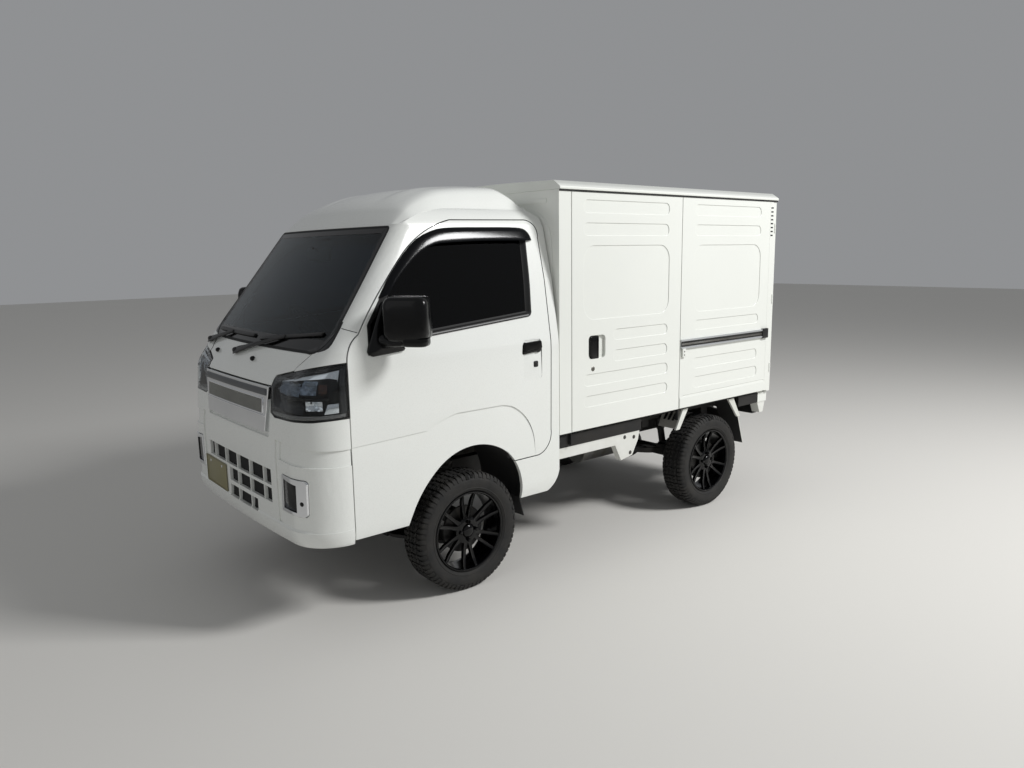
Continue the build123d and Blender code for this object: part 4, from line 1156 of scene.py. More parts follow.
# rain visor: follows the window's upper edge, stands off the glass at its lower edge
visorOuter = smoothLine([(408, 1436), (446, 1490), (488, 1541), (567, 1622), (644, 1684), (732, 1721),
                         (805, 1735), (920, 1739), (1038, 1740), (1140, 1741), (1236, 1740), (1284, 1734),
                         (1308, 1718), (1320, 1700), (1326, 1678)], 2)
visorInner = smoothLine([(454, 1450), (486, 1490), (516, 1521), (580, 1577), (651, 1628), (730, 1660),
                         (800, 1668), (920, 1673), (1019, 1676), (1110, 1677), (1180, 1677), (1222, 1677),
                         (1244, 1677), (1258, 1676), (1268, 1675)], 2)


def visorLine(t, lift):
    return [sidePoint(*between(a, b, t), lift) for a, b in zip(visorOuter, visorInner)]


visorLines = ((0.0, 1.0), (0.02, 4.0), (0.12, 9.0), (0.35, 13.0), (0.65, 16.0), (0.9, 17.5), (1.0, 16.5))
visor = band("visor", *[visorLine(t, lift) for t, lift in visorLines], closed=False)
thicken(visor, 2.5, (1, 0, 0))
bothSides(visor, "smokedAcrylic", 60, node="door")
print("window seals and visors made")

# mirror: a head turned outwards, its glass, and a foot on the door's corner with a short arm
mirrorPlan = {
    "centre": (844.5, 451, 1342), "turn": 38,
    # rings of the head from its open face to its nose: depth, half width, top, bottom, corner
    "shell": ((44, 84, 94, -74, 30), (52, 88.5, 99, -79, 32), (55, 92, 103, -83, 34),
              (50, 94.5, 105, -85, 36), (0, 95.5, 105, -86, 36), (-24, 95, 103, -85, 36),
              (-36, 91, 97, -80, 38), (-43, 82, 86, -70, 38), (-46, 62, 66, -52, 34)),
    "glass": ((45.0, 83, 93, -73, 29), (46.4, 82, 92, -72, 29)),
    "bead": ((23, 95.3, 105.6, -86.4, 37), (21.5, 95.8, 106.2, -87, 37), (20, 95.3, 105.6, -86.4, 37)),
}


def addMirror():
    middle = Vector(mirrorPlan["centre"])
    turn = math.radians(mirrorPlan["turn"])
    wide, deep = Vector((math.cos(turn), math.sin(turn), 0)), Vector((-math.sin(turn), math.cos(turn), 0))

    def spot(a, depth, b):
        return place(*(middle + wide * a + deep * depth + Vector((0, 0, b))))

    def rings(name, rows):
        return band(name, *[[spot(a, depth, b) for a, b in roundedRect(-half, half, low, high, corner, 6)]
                            for depth, half, high, low, corner in rows])

    shell = closeEnds(rings("mirrorShell", mirrorPlan["shell"]))
    glass = closeEnds(rings("mirrorGlass", mirrorPlan["glass"]))
    # the shell's parting line is a shallow bead
    bead = rings("mirrorBead", mirrorPlan["bead"])
    # the lower outer lobe, where the arm meets the head
    lobeEdge = roundedRect(-58, 58, -42, 42, 28, 5)
    lobe = band("mirrorLobe", *[[spot(38 + a * grow, b * grow - 2, h) for a, b in lobeEdge]
                                for grow, h in ((0.98, -70), (1.0, -82), (0.99, -92), (0.92, -100),
                                                (0.76, -104), (0.5, -105))])
    closeEnds(lobe)
    # foot: three-cornered plate on the skin, swelling to the arm
    base = [(327, 1200), (345, 1194), (420, 1199), (498, 1206), (506, 1214), (500, 1232), (466, 1318),
            (436, 1404), (424, 1420), (414, 1412), (372, 1330), (330, 1240), (322, 1216)]
    foot = band("mirrorFoot", *[[sidePoint(*between((424, 1262), spot, grow), lift)
                                 for spot in spaced(base + base[:1], 26)[:-1]]
                                for grow, lift in ((1.0, 0.2), (1.0, 8), (0.97, 13), (0.88, 17), (0.66, 21),
                                                   (0.4, 26))])
    closeEnds(foot)

    def armRing(x, y, z, halfY, halfZ, corner):
        edge = roundedRect(-halfY, halfY, -halfZ, halfZ, corner, 5)
        return [place(x, y + a, z + b) for a, b in edge]

    sections = ((722, 416, 1254, 52, 42, 30), (742, 412, 1252, 40, 30, 24), (762, 410, 1250, 31, 20, 16),
                (790, 412, 1250, 27, 15, 13), (816, 420, 1250, 27, 14, 12), (840, 432, 1252, 26, 13, 11),
                (862, 445, 1254, 22, 10, 9))
    arm = closeEnds(band("mirrorArm", *[armRing(*section) for section in sections]))
    pivot = lathe("mirrorPivot", [(0, 0), (17, 0), (20, 3), (20, 12), (16, 15), (0, 15)],
                  place(806, 416, 1262), (0, 0, 1), 24, closed=True)
    whole = joinPieces("mirror", [shell, lobe, foot, arm, pivot, bead])
    bothSides(whole, "mirrorShell", 40, ("door_fittings",), "door")
    bothSides(glass, "mirrorGlass", 40, node="door")


addMirror()

# the handle's pocket is a shallow dish: its floor comes out to less than half of the depth
pocketRaised = 0.62
for node in ("door_left", "door_right"):
    for point in skins[node].data.vertices:
        x, y, z = point.co.x / mm, point.co.y / mm + midLength, point.co.z / mm
        deep = sideX(y, z) - abs(x)
        if 1176 < y < 1306 and 988 < z < 1197 and 1.0 < deep < 16:
            point.co.x += math.copysign(pocketRaised * deep * mm, x)


# door handle: a flap in the pressed pocket, and the key's plate below it
def addHandle():
    flapEdge = traced((1186, 1124), (1262, 1130), ((1298, 1136), (1304, 1152)), (1301, 1173),
                      ((1298, 1182), (1287, 1185)), (1200, 1181), ((1183, 1178), (1177, 1166)), (1173, 1136),
                      ((1175, 1126), (1186, 1124)), count=4)[:-1]
    rings = ((1.0, 722), (1.0, 736), (0.985, 739), (0.93, 741.5), (0.7, 742.5), (0.3, 743))
    flap = band("handleFlap", *[[place(x, *between((1241, 1155), spot, grow)) for spot in flapEdge]
                                for grow, x in rings])
    closeEnds(flap)
    gripEdge = ((1194, 1133), (1276, 1138), (1276, 1146), (1194, 1141))
    grip = slab("handleGrip", [place(741, y, z) for y, z in gripEdge], (3.5 * mm, 0, 0), 1.2)
    keyEdge = roundedRect(1249, 1277, 1054, 1084, 6)
    key = slab("keyPlate", [place(728, y, z) for y, z in keyEdge], (9.2 * mm, 0, 0), 1.2)
    barrel = lathe("keyBarrel", [(0, 0), (8, 0), (8, 1.2), (6.5, 1.8), (1.6, 1.6), (1.6, 0.4), (0, 0.4)],
                   place(737, 1263, 1069), (1, 0, 0), 24, closed=True)
    bothSides(joinPieces("handle", [flap, grip]), "mirrorShell", 40, node="door")
    bothSides(key, "satinBlack", 40, node="door")
    bothSides(barrel, "satinBlack", 40, node="door")


addHandle()
print("mirrors and handles made")


# windscreen: its edge in the front view, grown by g mm
def screenEdge(g):
    return traced((-520, 1212 - g), (520, 1212 - g), ((612 + 0.7 * g, 1238 - 0.7 * g), (640 + g, 1300)),
                  (566 + g, 1722), ((556 + 0.7 * g, 1736 + 0.7 * g), (540, 1740 + g)), (-540, 1740 + g),
                  ((-556 - 0.7 * g, 1736 + 0.7 * g), (-566 - g, 1722)), (-640 - g, 1300),
                  ((-612 - 0.7 * g, 1238 - 0.7 * g), (-520, 1212 - g)))[:-1]


moulding = band("screenMoulding", *[edgeRing(screenEdge, nosePoint, grow, lift) for grow, lift in (
    (5, 0.2), (4, 1.6), (0, 2.2), (-4, 1.4), (-6, 0.2))])
finishPiece(moulding, "seal", 50)
# ceramic edge printed on the pane, taller along the bottom
frit = band("screenFrit", *[edgeRing(screenEdge, nosePoint, grow, 0.35) for grow in (-3, -28)])
lowFrit = band("screenFritLow", *[[nosePoint(-590 + 1180 * k / 24, z, 0.5) for k in range(25)]
                                  for z in (1228, 1246, 1264)], closed=False)
frit = joinPieces("screenFrit", [frit, lowFrit])
finishPiece(frit, "frit", 50)

# below, the black print reaches past the pane's rounding to the pillar's foot; above it a thin seam
cornerEdge = ((500, 1212), (547, 1212), (608, 1219), (642, 1228), (656, 1238), (660, 1252), (658, 1274),
              (652, 1312), (645, 1340), (634, 1342), (632, 1297), (604, 1247), (520, 1220))
seamEdge = ((1.345, 1314.6), (1.62, 1306.6), (1.90, 1297.2), (1.90, 1299.8), (1.62, 1309.2), (1.345, 1317.2))
for side in (1, -1):
    corner = onNose("screenCorner", [(side * x, z) for x, z in cornerEdge], 0.5, 2.2, ease=0.4)
    finishPiece(corner, "frit", 40)
    seam = onCab("pillarSeam", [(side * share, z) for share, z in seamEdge], 0.25, 1.2)
    finishPiece(seam, "seal")

# the roof: one smooth dome with a soft ridge on either side, from the windscreen to the slope at its rear
# station: x, y, z of the ridge, z over the middle, how far the middle lies ahead, x and z of the wall's foot
roofStations = (
    (557, 566, 1748, 1749, 40, 562, 1746), (552, 590, 1773, 1777, 40, 580, 1753),
    (544, 620, 1803, 1808, 39, 594, 1766), (535, 650, 1830, 1837, 38, 597, 1780),
    (520, 695, 1857, 1868, 36, 585, 1799), (505, 749, 1882, 1896, 33, 574, 1812),
    (495, 807, 1903, 1919, 28, 558, 1822), (488, 865, 1918, 1935, 20, 549, 1826),
    (482, 930, 1926, 1945, 12, 545, 1828), (480, 1000, 1932, 1951, 5, 543, 1830),
    (475, 1104, 1938, 1956, 0, 539, 1834), (475, 1211, 1941, 1957, 0, 537, 1837),
    (476, 1246, 1936, 1953, 0, 536, 1838), (480, 1280, 1921, 1939, 2, 534, 1839),
    (487, 1313, 1899, 1917, 4, 532, 1840), (497, 1340, 1873, 1889, 6, 530, 1840),
    (512, 1360, 1849, 1862, 8, 529, 1840), (522, 1371, 1838, 1842, 8, 528, 1838),
)
roofRows = smoothLine(roofStations, 3)


# half of the roof's section at a station: from the middle over the ridge to the wall's foot
def roofSection(row):
    ridgeX, ridgeY, ridgeZ, middleZ, ahead, footX, footZ = row
    found = []
    for k in range(15):
        u = k * 0.06
        rib = 5.0 * clamped(min((u - 0.55) * 22, (0.80 - u) * 22, (ridgeY - 660) / 90, (1215 - ridgeY) / 60))
        arch = 1 - u * u
        found.append((ridgeX * u, ridgeY - ahead * arch, ridgeZ + (middleZ - ridgeZ) * arch + rib))
    start, corner = Vector(found[-1]), Vector((ridgeX, ridgeY, ridgeZ))
    foot = Vector((footX - 3, ridgeY, footZ))
    end = corner + (foot - corner) * 0.35
    for t in (0.2, 0.4, 0.6, 0.8, 1.0):
        found.append(tuple(start * (1 - t) ** 2 + corner * 2 * t * (1 - t) + end * t * t))
    found.append(tuple(end + (foot - end) * 0.55))
    found.append(tuple(foot))
    found.append((footX - 10, ridgeY, footZ - 9))
    return found


def addRoof():
    sections = [roofSection(row) for row in roofRows]
    columns = len(sections[0])
    across, back = 2 * (columns - 1), len(sections) - 1
    dome = addPrimitive("grid", "roofDome", (0, 0, 0), x_subdivisions=across, y_subdivisions=back, size=1.0)
    for point in dome.data.vertices:
        column = round((point.co.x + 0.5) * across) - (columns - 1)
        x, y, z = sections[round((point.co.y + 0.5) * back)][abs(column)]
        point.co = place(x if column >= 0 else -x, y, z)
    thicken(dome, 4.0, (0, 0, 1))
    return finishPiece(dome, "cabEnamel", 60, ("cab_roof",))


addRoof()
# the roof's lining hangs below the dome, and closes the gap to the cab's upper frame
lining = roundedBlock("headLining", (-520, 640, 1722), (520, 1350, 1740), 8)
finishPiece(lining, "cabTrim")
print("screen and roof made")

# box: the sliding doors' grips and locks, mirrored like the doors; the walls' outside lies at boxSkin
boxSkin = 729
boxFittings = {"grip": (1657, 1722, 1050, 1174), "lock": (1675, 999)}


# an upright plate that starts x mm out and grows thick mm outwards
def sidePlate(name, x, y0, y1, z0, z1, thick, ease=0.0):
    return slab(name, [place(x, y, z) for y, z in ((y0, z0), (y1, z0), (y1, z1), (y0, z1))],
                (thick * mm, 0, 0), ease)


def addGrip():
    y0, y1, z0, z1 = boxFittings["grip"]
    edge = traced((y0 + 8, z1), ((y0 + 2, z1 - 2), (y0, z1 - 8)), (y0, z0 + 26), (y0 + 14, z0 + 4),
                  ((y0 + 20, z0), (y0 + 28, z0)), (y1 - 8, z0), ((y1 - 2, z0 + 2), (y1, z0 + 8)),
                  (y1, z1 - 8), ((y1 - 2, z1 - 2), (y1 - 8, z1)), count=3)
    middle = ((y0 + y1) / 2, (z0 + z1) / 2)
    grip = band("boxGrip", *[[place(x, *between(middle, spot, grow)) for spot in edge]
                             for grow, x in ((1.0, 712), (1.0, 725), (0.97, 728), (0.9, 729.5), (0.5, 730))])
    closeEnds(grip)
    finger = sidePlate("boxGripEdge", boxSkin, y1 - 14, y1 - 8, z0 + 12, z1 - 12, 3, 1.0)
    bothSides(joinPieces("boxGrip", [grip, finger]), "mirrorShell", 40)
    y, z = boxFittings["lock"]
    lock = lathe("boxLock", [(0, 1.5), (2, 1.5), (2, 3.4), (8.5, 3.6), (11, 2.2), (13, 1.0), (13, -2),
                             (0, -2)],
                 place(boxSkin, y, z), (1, 0, 0), 28, closed=True)
    bothSides(lock, "rolledSteel", 40)
    slot = sidePlate("boxLockSlot", boxSkin + 2, y - 1.2, y + 1.2, z - 5, z + 5, 0.8)
    bothSides(slot, "satinBlack")


addGrip()

# the rail of the sliding door: bright edges, a dark plate in its channel as painted shade, black end cap,
# white bracket, screws
easedCopy("door_rails", 1.0, "brushedRail")
bothSides(sidePlate("railChannelShade", 733.8, 2416, 3262, 1052, 1080, 4), "chassisPaint")
trackLip = roundedBlock("railLip", (735, 2416, 1060), (740.5, 3258, 1070), 1.6)
bothSides(trackLip, "rolledSteel")
endCap = roundedBlock("railEndCap", (729.2, 3254, 1034.5), (746.6, 3319, 1098.5), 4)
bothSides(endCap, "satinBlack")
bracket = roundedBlock("railBracket", (729.2, 2422.5, 988.5), (742.4, 2453.5, 1041), 3)
bothSides(bracket, "boxEnamel")
for y, z in ((2438, 1002), (2438, 1022)):
    screw = lathe("railScrew", [(0, 2.2), (3.5, 1.8), (5, 0), (5, -1), (0, -1)], place(742.2, y, z),
                  (1, 0, 0), 16, closed=True)
    bothSides(screw, "rolledSteel", 40)

# vents in the rear posts: dark blocks fill the slots, painted shade
for k in range(8):
    low = 1874 - k * 25
    bothSides(sidePlate("vent", 722, 3323, 3350, low, low + 9, 7.2), "paintedShadeBlack")


# a block on the truck's left, or its mirror image on the right for a side of -1; corners in mm
def sideBlock(name, side, low, high, ease, segments=3):
    x0, x1 = sorted((side * low[0], side * high[0]))
    return roundedBlock(name, (x0, *low[1:]), (x1, *high[1:]), ease, segments)


# rear corners: three hinges to a door
hingeBarrel = [(0, 0), (7, 0), (8.5, 1.5), (8.5, 18.5), (7.4, 19), (7.4, 21), (8.5, 21.5), (8.5, 38.5),
               (7.4, 39), (7.4, 41), (8.5, 41.5), (8.5, 58.5), (7, 60), (0, 60)]
for low in (800, 1260, 1720):
    barrel = lathe("rearHinge", hingeBarrel, place(723, 3378.5, low), (0, 0, 1), 20)
    bothSides(barrel, "boxEnamel", 40)
    for side, node in ((1, "rear_door_left"), (-1, "rear_door_right")):
        leaf = sideBlock("hingeLeaf", side, (648, 3391, low + 4), (718, 3394.6, low + 56), 1.5)
        finishPiece(leaf, "boxEnamel", body=bodyOf(node))
        for x, z in ((668, 16), (668, 44), (692, 16), (692, 44)):
            bolt = lathe("hingeBolt", [(0, 0.8), (4, 0.7), (6, 0), (6, -1), (0, -1)],
                         place(side * x, 3394.1, low + z), (0, 1, 0), 12)
            finishPiece(bolt, "rolledSteel", 40, body=bodyOf(node))
print("box fittings made")

# the doors' rear faces lie 3 mm further in, so that the hinge leaves stand on them inside the truck's length
for node in ("rear_door_left", "rear_door_right"):
    for point in skins[node].data.vertices:
        if point.co.y / mm + midLength > 3389:
            point.co.y -= 3 * mm
# folded foot of the fixed side panel, standing 2.6 mm out below its crease
footEdge = ((729, 677), (731.6, 678.5), (731.8, 690), (731.8, 733), (731, 738), (729, 743))
foot = band("panelFoot", *[[place(x, y, z) for x, z in footEdge] for y in (2416, 3314)], closed=False)
thicken(foot, 1.2, (1, 0, 0))
bothSides(foot, "boxEnamel", 50)
# rubber in the seams of the sliding doors
for y in (1518, 2410):
    bothSides(sidePlate("doorSeam", 704, y - 2.4, y + 2.4, 606, 1916, 20.5), "seal")
# painted shadow: a dark strip under the roof's eaves
bothSides(sidePlate("eaveShadowStrip", boxSkin + 0.1, 1433, 3392, 1917, 1925.5, 3, 0.8), "seal")


# front wall of the box: a large pressing and a short step above it
def wallPressing(name, points, rise):
    panel = slab(name, [place(x, 1431.5, z) for x, z in points], (0, -rise * mm, 0), 2.0, 3)
    return finishPiece(panel, "boxEnamel")


wallPressing("frontWallPressing", roundedRect(-676, 676, 720, 1836, 180, 10), 4.0)
wallPressing("frontWallStep", roundedRect(-640, 640, 1862, 1888, 10, 4), 3.0)

# tail lamps: black housings with a red, an amber and a clear field
for side in (1, -1):
    housing = sideBlock("tailHousing", side, (430, 3335.2, 500.2), (636, 3385, 593), 5)
    finishPiece(housing, "satinBlack", sharp, ("tail_lamps",))
    for x0, x1, look in ((438, 528, "lensRed"), (531, 590, "lensAmber"), (593, 628, "lensClear")):
        lens = sideBlock("tailLens", side, (x0, 3380, 508), (x1, 3391, 585), 4)
        finishPiece(lens, look)
        behind = sideBlock("tailReflector", side, (x0 + 5, 3381.5, 513), (x1 - 5, 3384.8, 580), 1)
        finishPiece(behind, "chromePlate")
print("front wall and tail lamps made")

# stays of the splash guards are white steel, the front guards' plates and the tow plates zinc
lookWhere(skins["mudguards"], "whiteChassis", lambda x, y, z, face: x > 690.5 and y > 2400)
lookWhere(skins["mudguards"], "zincPlate", lambda x, y, z, face: x <= 690.5 and 2400 < y < 2520)
lookWhere(skins["frame_brackets"], "zincPlate", lambda x, y, z, face: x > 455 and y < 200)
lookWhere(skins["box_floor"], "boxEnamel", lambda x, y, z, face: y > floorEnd and x > 640)


# the wheel arch is dark inside its rim: where faces look towards its middle
def inArch(x, y, z, face):
    towards = Vector((0, 815 - y, 380 - z)).normalized()
    return x < archCut - 1 and 470 < y < 1170 and z < 735 and face.normal.dot(towards) > 0.5


for node in ("cab_shell", "door_left", "door_right"):
    lookWhere(skins[node], "chassisPaint", inArch)
# the sill's outer strip ends behind the side rail, so that the guard's plate shows before the rear wheel
for side in (1, -1):
    cutter = sideBlock("sillCut", side, (560, 2100, 560), (760, 2470, 659), 1, 1)
    trim = skins["box_floor"].modifiers.new("open", "BOOLEAN")
    trim.operation = "DIFFERENCE"
    trim.object = cutter
    applyAll(skins["box_floor"])
    bpy.data.objects.remove(cutter)
# bolts on the side rail's gusset
for y, z in ((1964, 571), (2042, 561), (2012, 474)):
    bolt = lathe("railBolt", [(0, 5), (5, 4.6), (6.5, 3), (6.5, 1.4), (11, 1.2), (11.5, 0), (11.5, -1),
                              (0, -1)],
                 place(700, y, z), (1, 0, 0), 24, closed=True)
    bothSides(bolt, "castIron")
# slots in the guard's sloping plate: dark plates on it, painted shade
slope = Vector((0, -58, -70)).normalized()
for k in range(3):
    edge = roundedRect(585 + k * 32, 603 + k * 32, 18, 80, 7, 3)
    slot = slab("guardSlotShade", [place(x, 2494.4 + slope.y * down, 650 + slope.z * down) for x, down in edge],
                (0, -0.8 * mm, 0))
    bothSides(slot, "paintedShadeBlack")

# rear springs: leaves, the bolts and plate that clamp them, their eyes, and a shock absorber beside each
spring = {"x": 450, "y": wheel["rear"], "z": 360.1, "half": (330, 235, 150), "step": 7.2, "thick": 6.4,
          "wide": 58}


def addSpring(side):
    x0, x1 = spring["x"] - spring["wide"] / 2, spring["x"] + spring["wide"] / 2
    for number, half in enumerate(spring["half"]):
        low = spring["z"] + number * spring["step"]
        high = low + spring["thick"]
        line = [(spring["y"] + half * t, 75 * (half * t / 510) ** 2)
                for t in (-1, -0.66, -0.33, 0, 0.33, 0.66, 1)]
        leaf = band("springLeaf", *[[place(side * x, y, z + rise) for y, rise in line] for x, z in (
            (x0, low), (x0, high), (x1, high), (x1, low), (x0, low))], closed=False)
        closeEnds(leaf)
        finishPiece(leaf, "chassisPaint", 30)
    for y in (2712, 2782):
        for x in (416, 484):
            bolt = lathe("springBolt", [(0, 0), (6, 0), (6, 96), (9, 96), (10, 100), (9, 106), (0, 107)],
                         place(side * x, y, 283), (0, 0, 1), 14)
            finishPiece(bolt, "rolledSteel", 40)
    plate = sideBlock("springPlate", side, (404, 2694, 372), (496, 2800, 382), 2.5)
    finishPiece(plate, "chassisPaint")
    for y in (2252, 3244):
        eye = lathe("springEye", [(0, -34), (11, -34), (14, -31), (14, 31), (11, 34), (0, 34)],
                    place(side * spring["x"], y, 412), (1, 0, 0), 20)
        finishPiece(eye, "chassisPaint", 40)
    damper = lathe("rearDamper", [(0, 0), (11, 0), (11, 8), (22, 12), (22, 130), (26, 132), (26, 200),
                                  (11, 204), (9, 214), (0, 214)], place(side * 388, 2690, 336), (0, -0.22, 1),
                   20)
    finishPiece(damper, "chassisPaint", 40)


for side in (1, -1):
    addSpring(side)

# engine: ribs on its block and an oil pan, seen from below
for k in range(6):
    rib = roundedBlock("engineRib", (-212.5, 930 + k * 66, 330), (212.5, 938 + k * 66, 640), 2)
    finishPiece(rib, "castIron")
pan = roundedBlock("oilPan", (-150, 960, 284), (150, 1270, 302), 8)
finishPiece(pan, "chassisPaint")
# seams of the silencer and straps of the tank
for y in (2066, 2494):
    seam = lathe("silencerSeam", [(78, -5), (82.5, -4), (83.5, 0), (82.5, 4), (78, 5)], place(200, y, 384.7),
                 (0, 1, 0), 32, closed=True)
    finishPiece(seam, "rolledSteel", 40)
strapLine = traced((-350, 543), (-610, 543), ((-634, 534), (-643, 510)), (-643, 410),
                   ((-634, 386), (-610, 377)), (-350, 377), count=4)
for y in (1610, 1930):
    strap = band("tankStrap", *[[place(x, y + a, z) for x, z in strapLine] for a in (-14, 14)], closed=False)
    thicken(strap, 2.0, (-1, 0, -1))
    finishPiece(strap, "rolledSteel", 40)
print("underside made")

# the cab's inner faces are dark trim: those that look towards the middle of the cabin
cabinMiddle = place(0, 800, 1250)
for node in ("cab_shell", "door_left", "door_right"):
    lookWhere(skins[node], "cabTrim", lambda x, y, z, face: z > 560 and y < 1400
              and (face.center - cabinMiddle).dot(face.normal) < -0.02)
lookWhere(skins["cab_shell"], "chassisPaint", lambda x, y, z, face: face.normal.z < -0.6 and z < 900
          and x < 660)
# painted shade: the bumper's cells are dark inside, a dark panel behind their front edges
cellShade = onNose("cellShade", [(-386, 466), (386, 466), (386, 692), (-386, 692)], -15, 2)
finishPiece(cellShade, "paintedShadeBlack")

# seats: pads through rounded sections, swollen by a cloth run under pressure, and piped along their edges
seatPlan = {
    "x": 350, "cushionLow": 834, "cushionTop": 956,
    # the cloth run: size of its mesh in metres, pressure, frames, and how far in mm it may move a point
    "voxel": 0.010, "pressure": 4.0, "frames": 20, "cap": 9.0,
    # sections of the back from its foot to its top: height, half width, half depth
    "back": ((970, 180, 30), (984, 196, 36), (1060, 203, 38), (1200, 203, 38), (1340, 198, 38),
             (1400, 188, 37), (1440, 168, 34), (1466, 138, 27), (1480, 96, 16)),
}


def sectionRing(x, y, z, halfX, halfY, corner, steps=6):
    return [place(x + a, y + b, z) for a, b in roundedRect(-halfX, halfX, -halfY, halfY, corner, steps)]


def swell(piece):
    voxel = piece.modifiers.new("voxel", "REMESH")
    voxel.mode = "VOXEL"
    voxel.voxel_size = seatPlan["voxel"]
    applyAll(piece)
    before = [point.co.copy() for point in piece.data.vertices]
    cloth = piece.modifiers.new("cloth", "CLOTH")
    cloth.settings.quality = 5
    cloth.settings.use_pressure = True
    cloth.settings.uniform_pressure_force = seatPlan["pressure"]
    cloth.settings.effector_weights.gravity = 0.0
    cloth.point_cache.frame_start = 1
    cloth.point_cache.frame_end = seatPlan["frames"]
    for step in range(1, seatPlan["frames"] + 1):
        bpy.context.scene.frame_set(step)
    applyAll(piece)
    for point, old in zip(piece.data.vertices, before):
        moved = point.co - old
        if moved.length > seatPlan["cap"] * mm:
            point.co = old + moved.normalized() * seatPlan["cap"] * mm
    bpy.context.scene.frame_set(1)


def finishPad(piece):
    finer = piece.modifiers.new("finer", "SUBSURF")
    finer.levels = 1
    applyAll(piece)
    finishPiece(piece, "seatCloth", 180)


def addSeats():
    low, top = seatPlan["cushionLow"], seatPlan["cushionTop"]
    cushion = band("seatCushion", *[sectionRing(seatPlan["x"], 995, z, 212 * grow, 222 * grow, 60)
                                    for grow, z in ((0.9, low + 8), (0.96, low + 16), (0.985, low + 40),
                                                    (0.97, top - 34), (0.93, top - 18), (0.8, top - 11),
                                                    (0.5, top - 9))])
    closeEnds(cushion)
    backRest = band("seatBack", *[sectionRing(seatPlan["x"], 1248 + (z - 962) * 0.099, z, wide, deep, 30)
                                  for z, wide, deep in seatPlan["back"]])
    closeEnds(backRest)
    for pad in (cushion, backRest):
        swell(pad)
        twin = copyOf(pad, pad.name + "Right", flip=True)
        finishPad(pad)
        finishPad(twin)
    for side in (1, -1):
        x = side * seatPlan["x"]
        foot = roundedBlock("seatBase", (x - 200, 790, 756.4), (x + 200, 1210, 831), 6)
        finishPiece(foot, "grainedPlastic", sharp, ("seats",))
        piping = tube("seatPiping", sectionRing(x, 995, top - 20, 207, 217, 58), 3.2, closed=True)
        finishPiece(piping, "satinBlack", 60)
        knob = lathe("reclineKnob", [(0, 0), (26, 0), (28, 3), (28, 9), (24, 13), (0, 14)],
                     place(x + side * 214, 1238, 978), (side, 0, 0), 24)
        finishPiece(knob, "grainedPlastic", 40)


addSeats()
print("seats made")

# steering wheel: grip ring, padded hub and three spokes
wheelHub = place(-350, 610, 1210)
wheelAxis = Vector((0, math.cos(math.radians(38)), math.sin(math.radians(38))))
angles = [k * math.tau / 12 for k in range(12)]
ring = lathe("steeringRing", [(175 + 14 * math.cos(angle), 14 * math.sin(angle)) for angle in angles],
             wheelHub, wheelAxis, 48, closed=True)
hub = lathe("steeringHub", [(0, 8), (30, 7), (46, 3), (54, -4), (55, -30), (40, -40), (0, -41)], wheelHub,
            wheelAxis, 32)
spokes = []
spokeEdge = ((-1, -2), (-0.7, -5), (0.7, -5), (1, -2), (1, 2), (0.7, 5), (-0.7, 5), (-1, 2))
for turn in (90, -90, 180):
    along = Matrix.Rotation(math.radians(turn), 3, wheelAxis) @ wheelAxis.cross(Vector((1, 0, 0)))
    over = along.cross(wheelAxis)
    # stations: distance from the hub, half width, height
    spoke = band("spoke", *[[wheelHub + (along * r + over * (a * half) + wheelAxis * (h + b)) * mm
                             for a, b in spokeEdge]
                            for r, half, h in ((44, 24, -18), (80, 17, -15), (120, 13, -8), (166, 12, -2))])
    spokes.append(closeEnds(spoke))
wheelPiece = joinPieces("steeringWheel", [ring, hub] + spokes)
finishPiece(wheelPiece, "grainedPlastic", 50, ("steering_wheel",), bodyOf("steering_wheel"))

# dashboard details: instrument hood, air vents, screen frame and lid of the glove box
hoodEdge = roundedRect(-150, 150, -36, 36, 34, 6)
hoodRings = ((0.55, 300, 1138), (0.85, 330, 1143), (0.97, 370, 1147), (1.0, 404, 1150), (0.93, 404, 1150),
             (0.9, 360, 1147))
hood = band("instrumentHood", *[[place(-350 + a * grow, y, z + b * grow) for a, b in hoodEdge]
                                for grow, y, z in hoodRings])
finishPiece(hood, "grainedPlastic", 50)
dial = lathe("dial", [(0, 0), (46, 0), (48, 2), (50, 0), (50, -4), (0, -4)], place(-350, 371, 1147),
             (0, 1, 0), 32)
finishPiece(dial, "lampDark", 40)
for x in (-560, -120, 120, 560):
    frameRing = roundedBlock("airVent", (x - 48, 452, 1062), (x + 48, 466, 1104), 5)
    finishPiece(frameRing, "satinBlack")
    for k in range(4):
        blade = roundedBlock("airVentBlade", (x - 42, 465, 1068 + k * 9), (x + 42, 468.5, 1071 + k * 9), 0.8)
        finishPiece(blade, "glossBlack")
screenFrame = roundedBlock("dashScreen", (-92, 462, 990), (92, 472.5, 1052), 4)
finishPiece(screenFrame, "glossBlack")
gloveLid = roundedBlock("gloveLid", (190, 458, 985), (520, 473, 1052), 6)
finishPiece(gloveLid, "grainedPlastic")

# mirror on the screen, with a small camera unit above it
shell = roundedBlock("cabinMirror", (-118, 478, 1588), (118, 500, 1652), 9, 4)
stalk = tube("mirrorStalk", [place(0, 452, 1652), place(0, 470, 1650), place(0, 486, 1636)], 7)
finishPiece(joinPieces("cabinMirror", [shell, stalk]), "satinBlack", 40, ("cabin_mirror",))
glass = roundedBlock("cabinMirrorGlass", (-110, 499, 1594), (110, 501.5, 1646), 1)
finishPiece(glass, "mirrorGlass")
unit = roundedBlock("cameraUnit", (34, 484, 1664), (128, 520, 1698), 8, 4)
finishPiece(unit, "glossBlack")

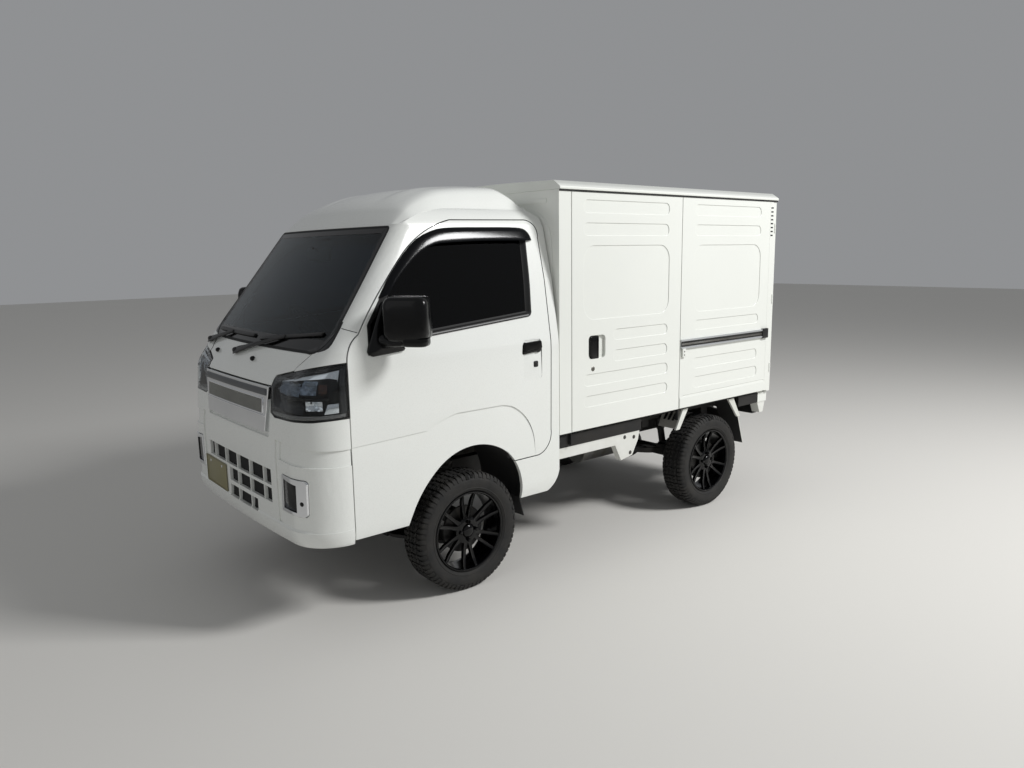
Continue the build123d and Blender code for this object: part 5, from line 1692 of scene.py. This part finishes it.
# rubber of the rear window
rearRing = band("rearWindowSeal", *[
    [place(x, y, z) for x, z in roundedRect(-480 - g, 480 + g, 1340 - g, 1660 + g, 60 + g, 6)]
    for g, y in ((9, 1419.2), (8, 1421.4), (-1, 1421.6), (-4, 1419), (-12, 1396))])
finishPiece(rearRing, "seal", 50)
print("cabin made")

# nodes that keep their own mesh
plain = {"cab_glass": "screenGlass", "door_glass_left": "tintedGlass", "door_glass_right": "tintedGlass"}
for node, look in plain.items():
    paint(frame["nodes"][node], look)

# floor, light and background
studio = {
    "floor": "#DAD8D3", "back": "#E9EBEE", "world": 0.34,
    # a large soft lamp high on the truck's left, and a weaker one ahead: place, aim, size and power
    "key": ((5.8, 3.6, 6.0), (0, 0, 1.0), 1.8, 560.0),
    "fill": ((1.0, -7.5, 4.0), (0, -1, 1.0), 5.0, 22.0),
}


def addStudio():
    bpy.ops.mesh.primitive_plane_add(size=60.0, location=(0, 0, -0.0005))
    floor = bpy.context.object
    floor.name = "floor"
    tree, where = newMaterial("floorPaper")
    cloud = addNode(tree, "ShaderNodeTexNoise", {"Scale": 0.6, "Detail": 4.0},
                    {"Vector": where}).outputs["Fac"]
    rough = addNode(tree, "ShaderNodeMapRange", {"To Min": 0.8, "To Max": 0.95},
                    {"Value": cloud}).outputs["Result"]
    addSurface(tree, {"Base Color": linear(studio["floor"])}, {"Roughness": rough})
    paint(floor, "floorPaper")
    world = bpy.data.worlds.new("studio")
    bpy.context.scene.world = world
    world.use_nodes = True
    world.node_tree.nodes.clear()
    back = addNode(world.node_tree, "ShaderNodeBackground", {"Color": linear(studio["back"]),
                                                             "Strength": studio["world"]})
    addNode(world.node_tree, "ShaderNodeOutputWorld", {}, {"Surface": back.outputs["Background"]})
    for name in ("key", "fill"):
        spot, aim, size, power = studio[name]
        bpy.ops.object.light_add(type="AREA", location=spot)
        lamp = bpy.context.object
        lamp.name = name
        lamp.data.size = size
        lamp.data.energy = power
        lamp.rotation_euler = (Vector(aim) - Vector(spot)).to_track_quat("-Z", "Y").to_euler()
    bpy.ops.object.select_all(action="DESELECT")


addStudio()
bpy.context.scene.view_settings.view_transform = "Standard"
print("studio set")
